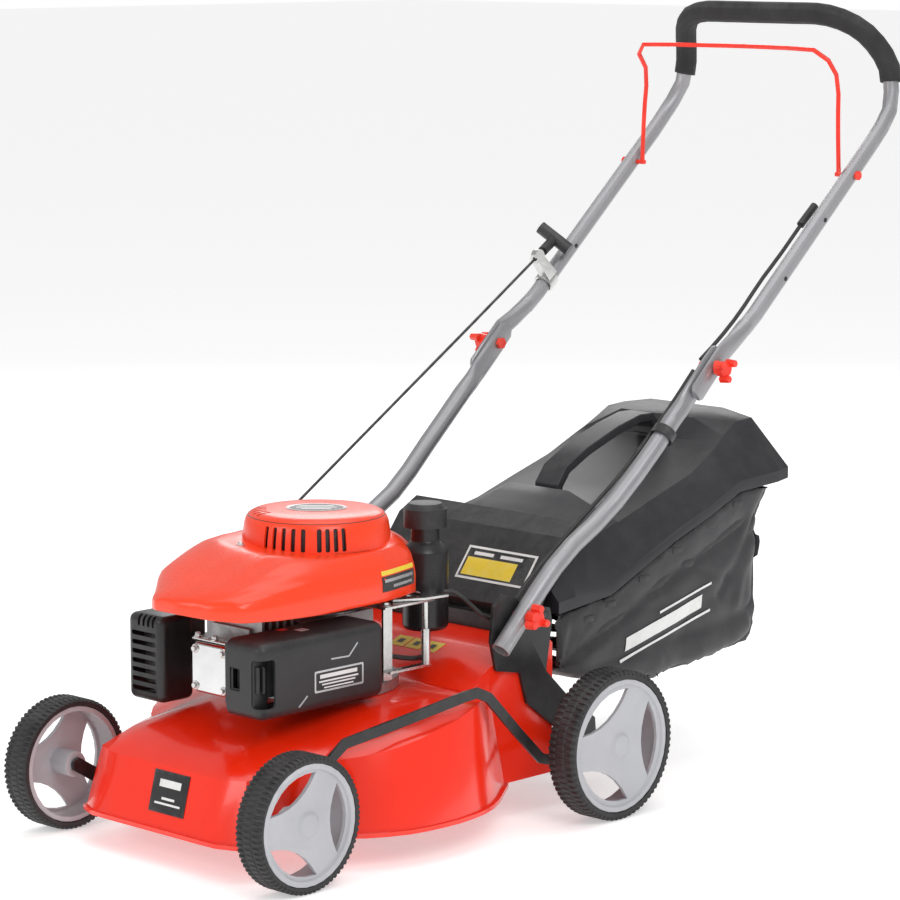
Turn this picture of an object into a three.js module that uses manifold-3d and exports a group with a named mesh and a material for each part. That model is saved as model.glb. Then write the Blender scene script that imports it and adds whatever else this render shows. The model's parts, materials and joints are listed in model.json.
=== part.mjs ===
// Petrol push lawn mower with a 400 mm cut: deck, wheels, engine, folding handle and grass catcher.
// Millimetres, +Z up. The mower's front faces -Y and its left side faces +X. Every station along the
// mower is measured from the front axle, and the whole machine is moved once at the end.
import * as THREE from "three";
import { mergeVertices } from "three/addons/utils/BufferGeometryUtils.js";
import Module from "manifold-3d";

const wasm = await Module();
wasm.setup();

// ---------- driving sizes ----------
const frontAxleY = -496.42; // puts the middle of the mower's length at y = 0
const wheelbase = 466;
const frontWheelRadius = 76;
const rearWheelRadius = 88;
const wheelWidth = 38;
const frontWheelFaceX = 214.5; // outer face of a front wheel
const rearWheelFaceX = 247;
const rimRatio = 0.887; // rim radius over wheel radius
const axleRadius = 6;
const crankReach = 42; // crank arm, axle rod to wheel centre
const crankRestAngle = 32; // degrees the arm stands above level at the lowest cut
const linkArm = 18; // crank arm, axle rod to link bar pin

const deckCentreY = 212; // crankshaft line
const engineX = 3; // crankshaft line off the machine's middle
const deckLipZ = 37;
const deckCrownZ = 165;
const deckCrownRadius = 95;
const deckWall = 3;
const deckLip = 4;
const tunnelHalfWidth = 149;
const tunnelTopZ = 206;
const tunnelRearY = 452;

const bladeRadius = 197;
const bladeZ = 62;
const crankshaftRadius = 12;

const tubeRadius = 11; // lower handle tubes
const upperTubeRadius = 10;
const tubeX = 166; // lower tube at its folding pivot
const tubeTopX = 174; // lower tube at the joint with the upper tube
const flatHalf = 4.5; // half thickness of the pressed-flat tube ends
const foamRadius = 14;
const boltRadius = 4;
const lowerPivotY = 382;
const lowerPivotZ = 242;
const middlePivotY = 698;
const middlePivotZ = 502;
const bailPivotY = 962;
const bailPivotZ = 719;
const bailHalfWidth = 161;

const lidHalfWidth = 150;
const bagHalfWidth = 145;
const flapHalfWidth = 138;

// ---------- clearances ----------
const fitGap = 0.4; // radial gap of every pin, bolt and axle in its hole
const restGap = 0.4; // between pieces that sit on each other

// ---------- worked out ----------
const rad = (degrees) => (degrees * Math.PI) / 180;
const armY = crankReach * Math.cos(rad(crankRestAngle));
const armZ = crankReach * Math.sin(rad(crankRestAngle));
const linkY = linkArm * Math.cos(rad(crankRestAngle));
const linkZ = linkArm * Math.sin(rad(crankRestAngle));
const frontPivot = { y: armY, z: frontWheelRadius - armZ };
const rearPivot = { y: wheelbase + armY, z: rearWheelRadius - armZ };
const frontWheelInnerX = frontWheelFaceX - wheelWidth;
const rearWheelInnerX = rearWheelFaceX - wheelWidth;
const jointX = tubeTopX + 2 * flatHalf + restGap; // upper tube's flat end beside the lower one's

const machine = new THREE.Group();
machine.position.y = frontAxleY;

// ---------- shape helpers ----------
function solid(geometry) {
  const plain = new THREE.BufferGeometry();
  const source = geometry.index ? geometry.toNonIndexed() : geometry;
  plain.setAttribute("position", source.getAttribute("position").clone());
  const merged = mergeVertices(plain, 1e-4);
  return new wasm.Manifold(
    new wasm.Mesh({
      numProp: 3,
      vertProperties: merged.attributes.position.array,
      triVerts: new Uint32Array(merged.index.array),
    }),
  );
}

function geometryOf(body) {
  const mesh = body.getMesh();
  const geometry = new THREE.BufferGeometry();
  const count = mesh.vertProperties.length / mesh.numProp;
  const points = new Float32Array(count * 3);
  for (let i = 0; i < count; i += 1) {
    for (let k = 0; k < 3; k += 1) {
      points[i * 3 + k] = mesh.vertProperties[i * mesh.numProp + k];
    }
  }
  geometry.setAttribute("position", new THREE.BufferAttribute(points, 3));
  geometry.setIndex(new THREE.BufferAttribute(new Uint32Array(mesh.triVerts), 1));
  geometry.computeVertexNormals();
  return geometry;
}

function join(...bodies) {
  return bodies.reduce((sum, body) => sum.add(body));
}

function cut(body, ...tools) {
  return tools.reduce((rest, tool) => rest.subtract(tool), body);
}

function box(x0, x1, y0, y1, z0, z1) {
  const geometry = new THREE.BoxGeometry(x1 - x0, y1 - y0, z1 - z0);
  geometry.translate((x0 + x1) / 2, (y0 + y1) / 2, (z0 + z1) / 2);
  return solid(geometry);
}

// A cylinder or cone frustum along X, Y or Z; a and b are the other two coordinates in order.
function rod(axis, from, to, a, b, radius, sides = 16, endRadius = radius) {
  const geometry = new THREE.CylinderGeometry(endRadius, radius, to - from, sides);
  geometry.rotateY(Math.PI / sides);
  const middle = (from + to) / 2;
  if (axis === "x") {
    geometry.rotateZ(-Math.PI / 2);
    geometry.translate(middle, a, b);
  } else if (axis === "y") {
    geometry.translate(a, middle, b);
  } else {
    geometry.rotateX(Math.PI / 2);
    geometry.translate(a, b, middle);
  }
  return solid(geometry);
}

// A ring or turned piece round an X axis: the profile is a closed list of [x, radius], and the ring's
// flats, not its corners, lie at the stated radii.
function turned(profile, centreY, centreZ, sides) {
  const stretch = 1 / Math.cos(Math.PI / sides);
  const loop = [...profile, profile[0]].map(([x, r]) => new THREE.Vector2(r * stretch, x));
  const geometry = new THREE.LatheGeometry(loop, sides);
  geometry.rotateY(Math.PI / sides);
  geometry.rotateZ(-Math.PI / 2);
  geometry.translate(0, centreY, centreZ);
  const body = solid(geometry);
  if (body.volume() > 0) return body;
  return turned([...profile].reverse(), centreY, centreZ, sides);
}

// A plate or bar with its outline in the Y-Z plane.
function prism(outline, x0, x1) {
  const shape = new THREE.Shape(outline.map(([y, z]) => new THREE.Vector2(y, z)));
  const geometry = new THREE.ExtrudeGeometry(shape, {
    depth: x1 - x0,
    bevelEnabled: false,
  });
  geometry.applyMatrix4(
    new THREE.Matrix4().set(0, 0, 1, x0, 1, 0, 0, 0, 0, 1, 0, 0, 0, 0, 0, 1),
  );
  return solid(geometry);
}

// A bar with its outline in the X-Z plane.
function prismY(outline, y0, y1) {
  const flat = outline.map(([x, z]) => [-x, z]);
  const body = prism(flat, y0, y1);
  return body.rotate([0, 0, 90]);
}

// A plate with its outline in the X-Y plane.
function prismZ(outline, z0, z1) {
  const shape = new THREE.Shape(outline.map(([x, y]) => new THREE.Vector2(x, y)));
  const geometry = new THREE.ExtrudeGeometry(shape, {
    depth: z1 - z0,
    bevelEnabled: false,
  });
  geometry.translate(0, 0, z0);
  return solid(geometry);
}

// A closed body through rings of equal point counts, capped with fans at both ends.
function loft(rings) {
  const points = [];
  const faces = [];
  const size = rings[0].length;
  rings.forEach((ring) => ring.forEach((p) => points.push(...p)));
  for (let r = 0; r < rings.length - 1; r += 1) {
    for (let i = 0; i < size; i += 1) {
      const j = (i + 1) % size;
      const low = r * size;
      const high = low + size;
      faces.push(low + i, low + j, high + j, low + i, high + j, high + i);
    }
  }
  [0, rings.length - 1].forEach((r) => {
    const middle = [0, 0, 0];
    rings[r].forEach((p) => p.forEach((v, k) => (middle[k] += v / size)));
    const centre = points.length / 3;
    points.push(...middle);
    for (let i = 0; i < size; i += 1) {
      const j = (i + 1) % size;
      const a = r * size + i;
      const b = r * size + j;
      if (r === 0) faces.push(centre, b, a);
      else faces.push(centre, a, b);
    }
  });
  const geometry = new THREE.BufferGeometry();
  geometry.setAttribute("position", new THREE.Float32BufferAttribute(points, 3));
  geometry.setIndex(faces);
  const body = solid(geometry);
  if (body.volume() > 0) return body;
  return loft(rings.map((ring) => [...ring].reverse()));
}

function curveOf(points) {
  return new THREE.CatmullRomCurve3(
    points.map((p) => new THREE.Vector3(...p)),
    false,
    "centripetal",
  );
}

// A round bar or tube along a curve.
function pipe(curve, radius, sides, steps, bore = 0) {
  const ring = (r) => {
    const list = [];
    for (let i = 0; i < sides; i += 1) {
      const turn = (2 * Math.PI * (i + 0.5)) / sides;
      list.push(new THREE.Vector2(r * Math.cos(turn), r * Math.sin(turn)));
    }
    return list;
  };
  const shape = new THREE.Shape(ring(radius));
  if (bore > 0) shape.holes.push(new THREE.Path(ring(bore)));
  const geometry = new THREE.ExtrudeGeometry(shape, {
    steps,
    bevelEnabled: false,
    extrudePath: curve,
  });
  const body = solid(geometry);
  if (body.volume() > 0) return body;
  const flipped = solid(geometry.scale(-1, 1, 1));
  return flipped.scale([-1, 1, 1]);
}

class PartOfCurve extends THREE.Curve {
  constructor(curve, from, to) {
    super();
    this.curve = curve;
    this.from = from;
    this.to = to;
  }
  getPoint(t, target = new THREE.Vector3()) {
    return target.copy(this.curve.getPointAt(this.from + (this.to - this.from) * t));
  }
}

// A flat bar bent in the Y-Z plane that also wanders in X; stations are [x, y, z].
function strap(stations, width, height) {
  const rings = stations.map(([x, y, z], i) => {
    const before = stations[Math.max(i - 1, 0)];
    const after = stations[Math.min(i + 1, stations.length - 1)];
    const dy = after[1] - before[1];
    const dz = after[2] - before[2];
    const length = Math.hypot(dy, dz);
    const ny = -dz / length;
    const nz = dy / length;
    return [
      [x - width / 2, y - (ny * height) / 2, z - (nz * height) / 2],
      [x + width / 2, y - (ny * height) / 2, z - (nz * height) / 2],
      [x + width / 2, y + (ny * height) / 2, z + (nz * height) / 2],
      [x - width / 2, y + (ny * height) / 2, z + (nz * height) / 2],
    ];
  });
  return loft(rings);
}

function mirrored(body, side) {
  return side > 0 ? body : body.mirror([1, 0, 0]);
}

function add(name, body, colour, roughness, metalness = 0) {
  const mesh = new THREE.Mesh(
    geometryOf(body),
    new THREE.MeshStandardMaterial({ color: colour, roughness, metalness }),
  );
  mesh.name = name;
  machine.add(mesh);
}

const red = 0xf02a12;
const black = 0x1c1c1f;
const grey = 0xb9bcc4;
const steel = 0xa8acb2;
const castGrey = 0x8d9096;
const silver = 0xbfc4bd;

// ---------- deck ----------
// Half width of the housing at stations along the mower, at the level of the lip.
const deckPlan = [
  [-35, 100],
  [-31, 120],
  [-20, 134],
  [0, 142],
  [76, 148],
  [95, 178],
  [120, 196],
  [150, 209],
  [185, 216],
  [235, 216],
  [270, 209],
  [300, 197],
  [325, 182],
  [350, 163],
  [372, 150],
  [398, 118],
];

// Height of the shoulder along the mower: it climbs from the nose to the tunnel.
const shoulderLine = [
  [-40, 108],
  [60, 116],
  [176, 137],
  [285, 157],
  [320, 158],
  [400, 150],
];

function valueAt(line, y) {
  for (let i = 1; i < line.length; i += 1) {
    if (y <= line[i][0]) {
      const [y0, v0] = line[i - 1];
      const [y1, v1] = line[i];
      return v0 + ((v1 - v0) * Math.max(y - y0, 0)) / (y1 - y0);
    }
  }
  return line[line.length - 1][1];
}

const planCorners = [
  ...deckPlan.map(([y, x]) => [x, y]),
  ...[...deckPlan].reverse().map(([y, x]) => [-x, y]),
];

// Where a ray from the crankshaft line meets the plan.
function planPoint(turn) {
  const c = Math.cos(turn);
  const s = Math.sin(turn);
  for (let i = 0; i < planCorners.length; i += 1) {
    const [x0, y0] = planCorners[i];
    const [x1, y1] = planCorners[(i + 1) % planCorners.length];
    const ex = x1 - x0;
    const ey = y1 - y0;
    const det = ex * s - ey * c;
    const share = (c * (y0 - deckCentreY) - s * x0) / det;
    const reach = (ex * (y0 - deckCentreY) - ey * x0) / det;
    if (reach > 0 && share >= 0 && share < 1) return [reach * c, deckCentreY + reach * s];
  }
  return [0, deckCentreY];
}

const outlineCount = 56;
const housingOutline = [];
for (let i = 0; i < outlineCount; i += 1) {
  housingOutline.push(planPoint((2 * Math.PI * (i + 0.5)) / outlineCount));
}

function housing(inset) {
  const ringAt = (share, heightOf, out = 0) =>
    housingOutline.map(([x, y]) => {
      const dx = x;
      const dy = y - deckCentreY;
      const reach = Math.hypot(dx, dy);
      const r = reach * share + out - inset;
      return [(dx / reach) * r, deckCentreY + (dy / reach) * r, heightOf(y) - inset];
    });
  const round = (radius, z) =>
    housingOutline.map(([x, y]) => {
      const turn = Math.atan2(y - deckCentreY, x);
      return [
        radius * Math.cos(turn),
        deckCentreY + radius * Math.sin(turn),
        z - inset,
      ];
    });
  const shoulder = (y) => valueAt(shoulderLine, y);
  const upper = (y) => shoulder(y) + 0.35 * (deckCrownZ - shoulder(y));
  const bottom = inset > 0 ? deckLipZ - 10 : deckLipZ;
  const rings = [];
  if (inset > 0) {
    rings.push(ringAt(1, () => bottom + inset));
  } else {
    rings.push(ringAt(1, () => bottom, deckLip));
    rings.push(ringAt(1, () => bottom + 5, deckLip));
    rings.push(ringAt(1, () => bottom + 5.01));
  }
  rings.push(ringAt(0.93, shoulder));
  rings.push(ringAt(0.8, upper));
  rings.push(round(deckCrownRadius, deckCrownZ));
  return loft(rings);
}

function tunnel(inset) {
  const low = inset > 0 ? deckLipZ - 10 : deckLipZ + 6;
  const rear = inset > 0 ? tunnelRearY + 20 : tunnelRearY;
  const top = tunnelTopZ - inset;
  const outline = [
    [318, low],
    [rear, low],
    [rear, top - (inset > 0 ? 0 : 8)],
    [rear - (inset > 0 ? 0 : 8), top],
    [404, top],
    [345, 184 - inset],
    [308, deckCrownZ - 3 - inset],
    [308, 120],
  ];
  const half = tunnelHalfWidth - inset;
  return prism(outline, -half, half);
}

const crankshaftHole = rod("z", 120, 200, engineX, deckCentreY, 20, 24);
const frontRodHole = rod("x", -200, 200, frontPivot.y, frontPivot.z, axleRadius + fitGap, 12);
const deckBody = cut(
  join(housing(0), tunnel(0)),
  housing(deckWall),
  tunnel(deckWall),
  crankshaftHole,
  frontRodHole,
);
add("deck_shell", deckBody, red, 0.25, 0.1);

// ---------- crank axles, height link and lever ----------
function armOutline(pivot, wheelY, wheelZ, tailY, tailZ) {
  const side = 8;
  const dy = wheelY - tailY;
  const dz = wheelZ - tailZ;
  const length = Math.hypot(dy, dz);
  const uy = dy / length;
  const uz = dz / length;
  return [
    [tailY - uy * side * 0.6 - uz * side, tailZ - uz * side * 0.6 + uy * side],
    [tailY - uy * side * 0.9, tailZ - uz * side * 0.9],
    [tailY - uy * side * 0.6 + uz * side, tailZ - uz * side * 0.6 - uy * side],
    [wheelY + uy * side * 0.6 + uz * side, wheelZ + uz * side * 0.6 - uy * side],
    [wheelY + uy * side * 1.2, wheelZ + uz * side * 1.2],
    [wheelY + uy * side * 0.6 - uz * side, wheelZ + uz * side * 0.6 + uy * side],
  ];
}

function crankAxle(pivot, wheelY, wheelZ, armX, armWidth, stubEnd, linkPin) {
  const parts = [rod("x", -armX - 1, armX + 1, pivot.y, pivot.z, axleRadius, 16)];
  [1, -1].forEach((side) => {
    const tailY = side > 0 ? pivot.y + linkY : pivot.y;
    const tailZ = side > 0 ? pivot.z - linkZ : pivot.z;
    const outline = armOutline(pivot, wheelY, wheelZ, tailY, tailZ);
    const arm = prism(outline, armX, armX + armWidth);
    const stub = rod("x", armX + armWidth - 1, stubEnd, wheelY, wheelZ, axleRadius, 16);
    parts.push(mirrored(join(arm, stub), side));
  });
  parts.push(
    rod("x", linkPin[0], armX + 1, pivot.y + linkY, pivot.z - linkZ, linkPin[1], 12),
  );
  return join(...parts);
}

const frontArmX = 170.5;
const rearArmX = 198;
const linkPinRadius = 3.5;
const frontLinkX = 167.2;
const rearLinkX = 194;
const linkWidth = 4;
const linkHeight = 12.5;
add(
  "front_crank_axle",
  crankAxle(frontPivot, 0, frontWheelRadius, frontArmX, 4, frontWheelFaceX - 5, [
    frontLinkX - linkWidth / 2 - 0.5,
    linkPinRadius,
  ]),
  black,
  0.5,
  0.3,
);
add(
  "rear_crank_axle",
  crankAxle(rearPivot, wheelbase, rearWheelRadius, rearArmX, 5, rearWheelFaceX - 5, [
    rearLinkX - linkWidth / 2 - 2,
    linkPinRadius,
  ]),
  black,
  0.5,
  0.3,
);

const frontPin = { y: frontPivot.y + linkY, z: frontPivot.z - linkZ };
const rearPin = { y: rearPivot.y + linkY, z: rearPivot.z - linkZ };
const linkStations = [
  [frontLinkX, frontPin.y - 1, frontPin.z - 7],
  [frontLinkX, frontPin.y + 1, frontPin.z + 7],
  [frontLinkX, 58, 90],
  [frontLinkX + 1, 72, 126],
  [172, 92, 143],
  [183, 130, 152],
  [191, 200, 163.5],
  [rearLinkX, 258, 172],
  [rearLinkX, 278, 173],
  [rearLinkX, 296, 165],
  [rearLinkX, 345, 116],
  [rearLinkX, 384, 79],
  [rearLinkX, 412, 71],
  [rearLinkX, 460, 76],
  [rearLinkX, rearPin.y - 26, rearPin.z + 28],
  [rearLinkX, rearPin.y - 10, rearPin.z + 26],
  [rearLinkX, rearPin.y, rearPin.z + 13],
  [rearLinkX, rearPin.y, rearPin.z - 7],
];
const linkBody = cut(
  strap(linkStations, linkWidth, linkHeight),
  rod("x", 150, 185, frontPin.y, frontPin.z, linkPinRadius + fitGap, 12),
  rod("x", 186, 205, rearPin.y, rearPin.z, linkPinRadius + fitGap, 12),
);
add("height_link_bar", linkBody, 0x17171a, 0.45, 0.2);

const leverTopY = rearPivot.y - 34;
const leverTopZ = rearPivot.z + 150;
const leverOutline = [
  [rearPivot.y - 11, rearPivot.z - 4],
  [rearPivot.y, rearPivot.z - 11],
  [rearPivot.y + 11, rearPivot.z - 2],
  [rearPivot.y + 8, rearPivot.z + 10],
  [leverTopY + 8, leverTopZ - 40],
  [leverTopY + 8, leverTopZ],
  [leverTopY - 8, leverTopZ],
  [leverTopY - 8, leverTopZ - 40],
];
const leverBody = cut(
  join(
    prism(leverOutline, -195, -190),
    prism(
      [
        [leverTopY - 12, leverTopZ - 34],
        [leverTopY + 12, leverTopZ - 34],
        [leverTopY + 12, leverTopZ + 6],
        [leverTopY, leverTopZ + 12],
        [leverTopY - 12, leverTopZ + 6],
      ],
      -203,
      -188,
    ),
  ),
  rod("x", -210, -180, rearPivot.y, rearPivot.z, axleRadius + fitGap, 12),
);
add("height_lever", leverBody, black, 0.55);

const quadrantOutline = [];
for (let i = 0; i <= 20; i += 1) {
  const turn = rad(88 + i * 4);
  const notch = i % 4 === 2 ? 5 : 0;
  quadrantOutline.push([
    rearPivot.y + (74 - notch) * Math.cos(turn),
    rearPivot.z + (74 - notch) * Math.sin(turn),
  ]);
}
quadrantOutline.push([rearPivot.y - 40, rearPivot.z + 12]);
quadrantOutline.push([rearPivot.y - 30, rearPivot.z + 34]);
quadrantOutline.push([rearPivot.y - 8, rearPivot.z + 46]);
const quadrantBody = join(
  prism(quadrantOutline, -187.6, -184.6),
  rod("x", -185, -157.8, rearPivot.y - 48, rearPivot.z + 38, 5, 10),
);
add("height_quadrant", quadrantBody, steel, 0.4, 0.8);

// ---------- wheels ----------
function lens(centreY, centreZ, turn, length, bulgeOut, bulgeIn) {
  const outline = [];
  const steps = 6;
  for (let i = 0; i <= steps; i += 1) {
    const t = -1 + (2 * i) / steps;
    outline.push([(t * length) / 2, bulgeOut * (1 - t * t)]);
  }
  for (let i = 1; i < steps; i += 1) {
    const t = 1 - (2 * i) / steps;
    outline.push([(t * length) / 2, -bulgeIn * (1 - t * t)]);
  }
  const c = Math.cos(turn);
  const s = Math.sin(turn);
  return outline.map(([along, out]) => [
    centreY + out * c - along * s,
    centreZ + out * s + along * c,
  ]);
}

function wheelHub(centreY, centreZ, radius, faceX) {
  const innerX = faceX - wheelWidth;
  const rim = radius * rimRatio - restGap;
  const dish = turned(
    [
      [innerX + 2, rim],
      [faceX - 1, rim],
      [faceX - 1, rim - 6],
      [faceX - 4, rim - 7],
      [faceX - 4, 5],
      [faceX - 9, 5],
      [faceX - 9, rim - 7],
      [innerX + 2, rim - 6],
    ].reverse(),
    centreY,
    centreZ,
    32,
  );
  const boss = join(
    rod("x", innerX, faceX - 6, centreY, centreZ, 15, 12),
    rod("x", faceX - 9, faceX - 1, centreY, centreZ, 22, 12, 12),
  );
  const windows = [0, 120, 240].map((degrees) => {
    const turn = rad(degrees);
    const out = rim * 0.64;
    const outline = lens(
      centreY + out * Math.cos(turn),
      centreZ + out * Math.sin(turn),
      turn,
      rim * 1.16,
      rim * 0.2,
      rim * 0.16,
    );
    return prism(outline, innerX - 5, faceX + 5);
  });
  const bore = rod("x", innerX - 5, faceX - 3.5, centreY, centreZ, axleRadius + fitGap, 12);
  return cut(join(cut(dish, ...windows), boss), bore);
}

function tyre(centreY, centreZ, radius, faceX) {
  const innerX = faceX - wheelWidth;
  const inner = radius * rimRatio;
  const profile = [
    [innerX, inner],
    [faceX, inner],
    [faceX, radius - 4.5],
    [faceX - 3, radius],
    [innerX + 3, radius],
    [innerX, radius - 4.5],
  ];
  return turned(profile, centreY, centreZ, 32);
}

const wheels = [
  ["front", 0, frontWheelRadius, frontWheelFaceX],
  ["rear", wheelbase, rearWheelRadius, rearWheelFaceX],
];
wheels.forEach(([place, centreY, radius, faceX]) => {
  [
    ["left", 1],
    ["right", -1],
  ].forEach(([sideName, side]) => {
    const hub = mirrored(wheelHub(centreY, radius, radius, faceX), side);
    add(`wheel_hub_${place}_${sideName}`, hub, grey, 0.5);
    const rubber = mirrored(tyre(centreY, radius, radius, faceX), side);
    add(`tyre_${place}_${sideName}`, rubber, 0x202124, 0.85);
  });
});

// ---------- rear brackets ----------
const bracketInnerX = tunnelHalfWidth + restGap;
const bracketOuterX = bracketInnerX + 5;
const hingeY = 434;
const hingeZ = 234;
const hingeRodRadius = 4;
const bracketOutline = [
  [352, 180],
  [343, 215],
  [347, 256],
  [362, 268],
  [384, 262],
  [404, 240],
  [426, 246],
  [442, 242],
  [446, 226],
  [436, 168],
  [474, 132],
  [522, 98],
  [526, 60],
  [514, 44],
  [488, 44],
  [460, 92],
  [404, 134],
  [392, 172],
];
[1, -1].forEach((side) => {
  const plate = cut(
    prism(bracketOutline, bracketInnerX, bracketOuterX),
    rod("x", 140, 165, lowerPivotY, lowerPivotZ, boltRadius + fitGap, 12),
    rod("x", 140, 170, rearPivot.y, rearPivot.z, axleRadius + fitGap, 12),
    rod("x", 140, 170, hingeY, hingeZ, hingeRodRadius + fitGap, 12),
  );
  add(`rear_bracket_${side > 0 ? "left" : "right"}`, mirrored(plate, side), black, 0.5);
});

// ---------- handle ----------
// A bar through oval rings that stand square to its line; stations are [x, y, z, half width, half depth].
function oval(stations, sides) {
  const rings = stations.map(([x, y, z, halfX, halfN], i) => {
    const before = stations[Math.max(i - 1, 0)];
    const after = stations[Math.min(i + 1, stations.length - 1)];
    const dy = after[1] - before[1];
    const dz = after[2] - before[2];
    const length = Math.hypot(dy, dz);
    const ring = [];
    for (let k = 0; k < sides; k += 1) {
      const turn = (2 * Math.PI * (k + 0.5)) / sides;
      const out = halfN * Math.sin(turn);
      ring.push([x + halfX * Math.cos(turn), y - (dz / length) * out, z + (dy / length) * out]);
    }
    return ring;
  });
  return loft(rings);
}

const lowerTubeLine = [
  [tubeX, lowerPivotY - 36, lowerPivotZ - 35],
  [tubeX, lowerPivotY, lowerPivotZ],
  [tubeX, 409, 268],
  [tubeX, 436, 292],
  [tubeX, 468, 314],
  [tubeX + 1, 503, 333],
  [tubeTopX - 4, 535, 356],
  [tubeTopX - 1, 570, 386],
  [tubeTopX, 604, 416],
  [tubeTopX, 634, 444],
];
// Unit direction of the joint, along which both tube ends lie side by side.
const jointWay = [0.73, 0.683];
const jointPoint = (x, distance, halfX, halfN) => [
  x,
  middlePivotY + jointWay[0] * distance,
  middlePivotZ + jointWay[1] * distance,
  halfX,
  halfN,
];
const flatDepth = 14;
const tubeRings = [
  ...lowerTubeLine.map((p) => [...p, tubeRadius, tubeRadius]),
  jointPoint(tubeTopX, -66, tubeRadius - 1, tubeRadius + 0.6),
  jointPoint(tubeTopX, -46, flatHalf, flatDepth),
  jointPoint(tubeTopX, 0, flatHalf, flatDepth),
  jointPoint(tubeTopX, 22, flatHalf, flatDepth - 1),
  jointPoint(tubeTopX, 27, flatHalf - 0.5, flatDepth - 5),
];
[1, -1].forEach((side) => {
  const tube = cut(
    oval(tubeRings, 12),
    pipe(
      curveOf([[tubeX, lowerPivotY - 46, lowerPivotZ - 44.5], ...lowerTubeLine.slice(1, 8)]),
      tubeRadius - 1.8,
      10,
      10,
    ),
    rod("x", 150, 195, lowerPivotY, lowerPivotZ, boltRadius + fitGap, 10),
    rod("x", 150, 195, middlePivotY, middlePivotZ, boltRadius + fitGap, 10),
  );
  add(`lower_tube_${side > 0 ? "left" : "right"}`, mirrored(tube, side), steel, 0.3, 0.9);
});

const upperSide = [
  [180, 757, 543],
  [180, 780, 560],
  [180, 803, 580],
  [180, 870.5, 640],
  [180, 916, 680],
  [180, 962, 720],
  [180.5, 1007.5, 760],
  [180.5, 1029, 781],
  [178, 1045, 800],
  [172, 1054, 821],
  [167, 1055, 850],
  [158, 1043, 875],
  [145, 1028, 895],
  [126, 1014, 908],
  [100, 1006, 915],
  [50, 1003, 916],
];
const upperLine = [
  ...upperSide,
  [0, 1002, 916],
  ...[...upperSide].reverse().map(([x, y, z]) => [-x, y, z]),
];
const upperCurve = curveOf(upperLine);
upperCurve.arcLengthDivisions = 800;
const upperEnd = oval(
  [
    jointPoint(jointX, -45, flatHalf - 0.5, flatDepth - 5),
    jointPoint(jointX, -40, flatHalf - 0.5, flatDepth - 1),
    jointPoint(jointX, 0, flatHalf - 0.5, flatDepth - 1),
    jointPoint(jointX, 24, flatHalf, flatDepth - 1),
    [181.5, 736, 530, 8, 11.5],
    [180, 757, 544, upperTubeRadius + 0.2, upperTubeRadius + 0.2],
    [180, 763, 548, upperTubeRadius + 0.2, upperTubeRadius + 0.2],
  ],
  12,
);
const middleBoltHole = rod(
  "x",
  -210,
  210,
  middlePivotY,
  middlePivotZ,
  boltRadius + fitGap,
  10,
);
const bailRadius = 3;
const bailHole = rod("x", -200, 200, bailPivotY, bailPivotZ, bailRadius + fitGap, 10);
const upperBody = cut(
  join(pipe(upperCurve, upperTubeRadius, 10, 48), upperEnd, mirrored(upperEnd, -1)),
  middleBoltHole,
  bailHole,
);
add("upper_handle", upperBody, steel, 0.3, 0.9);

const foamFrom = 0.322;
const foamBody = pipe(
  new PartOfCurve(upperCurve, foamFrom, 1 - foamFrom),
  foamRadius,
  10,
  26,
  upperTubeRadius + 1.7,
);
add("grip_foam", foamBody, 0x2a2b2e, 0.95);

const bailSide = [
  [bailHalfWidth + 1, bailPivotY, bailPivotZ + 5],
  [bailHalfWidth - 1, bailPivotY, bailPivotZ + 60],
  [bailHalfWidth - 4, bailPivotY, bailPivotZ + 121],
  [bailHalfWidth - 6, bailPivotY - 17, bailPivotZ + 143],
  [bailHalfWidth - 16, bailPivotY - 25, bailPivotZ + 153],
  [bailHalfWidth - 49, bailPivotY - 22, bailPivotZ + 155],
  [60, bailPivotY - 7, bailPivotZ + 155],
];
const bailTop = [0, bailPivotY + 1, bailPivotZ + 155];
const bailLine = [
  ...bailSide,
  bailTop,
  ...[...bailSide].reverse().map(([x, y, z]) => [-x, y, z]),
];
const bailEnds = [1, -1].map((side) =>
  mirrored(
    join(
      rod("x", bailHalfWidth - 3, 192, bailPivotY, bailPivotZ, bailRadius, 8),
      rod("x", 191, 194, bailPivotY, bailPivotZ, 6, 8),
      rod("z", bailPivotZ - 2, bailPivotZ + 8, bailHalfWidth + 1, bailPivotY, bailRadius, 8),
    ),
    side,
  ),
);
const bailBody = join(pipe(curveOf(bailLine), bailRadius, 6, 26), ...bailEnds);
add("bail", bailBody, 0xe8382a, 0.35);

function wingKnob(pivotY, pivotZ, headX, shaftX, knobX, lean) {
  const lobes = [0, 1, 2].map((i) => {
    const turn = rad(lean + i * 120);
    const y = pivotY + 12 * Math.cos(turn);
    const z = pivotZ + 12 * Math.sin(turn);
    return rod("x", knobX + 6, knobX + 19, y, z, 5.5, 6, 4.5);
  });
  return join(
    rod("x", headX, shaftX + 0.5, pivotY, pivotZ, 7.5, 6),
    rod("x", shaftX, knobX + 2, pivotY, pivotZ, boltRadius, 8),
    rod("x", knobX, knobX + 14, pivotY, pivotZ, 9, 10, 10),
    ...lobes,
  );
}

[1, -1].forEach((side) => {
  const name = side > 0 ? "left" : "right";
  const low = wingKnob(
    lowerPivotY,
    lowerPivotZ,
    bracketInnerX - 5,
    bracketInnerX - restGap - 0.5,
    tubeX + tubeRadius + 0.8,
    90,
  );
  add(`lower_knob_${name}`, mirrored(low, side), 0xe8331c, 0.45);
  const middle = wingKnob(
    middlePivotY,
    middlePivotZ,
    tubeTopX - flatHalf - 5,
    tubeTopX - flatHalf - 0.9,
    jointX + flatHalf + 2,
    30,
  );
  add(`middle_knob_${name}`, mirrored(middle, side), 0xe8331c, 0.45);
});

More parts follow.
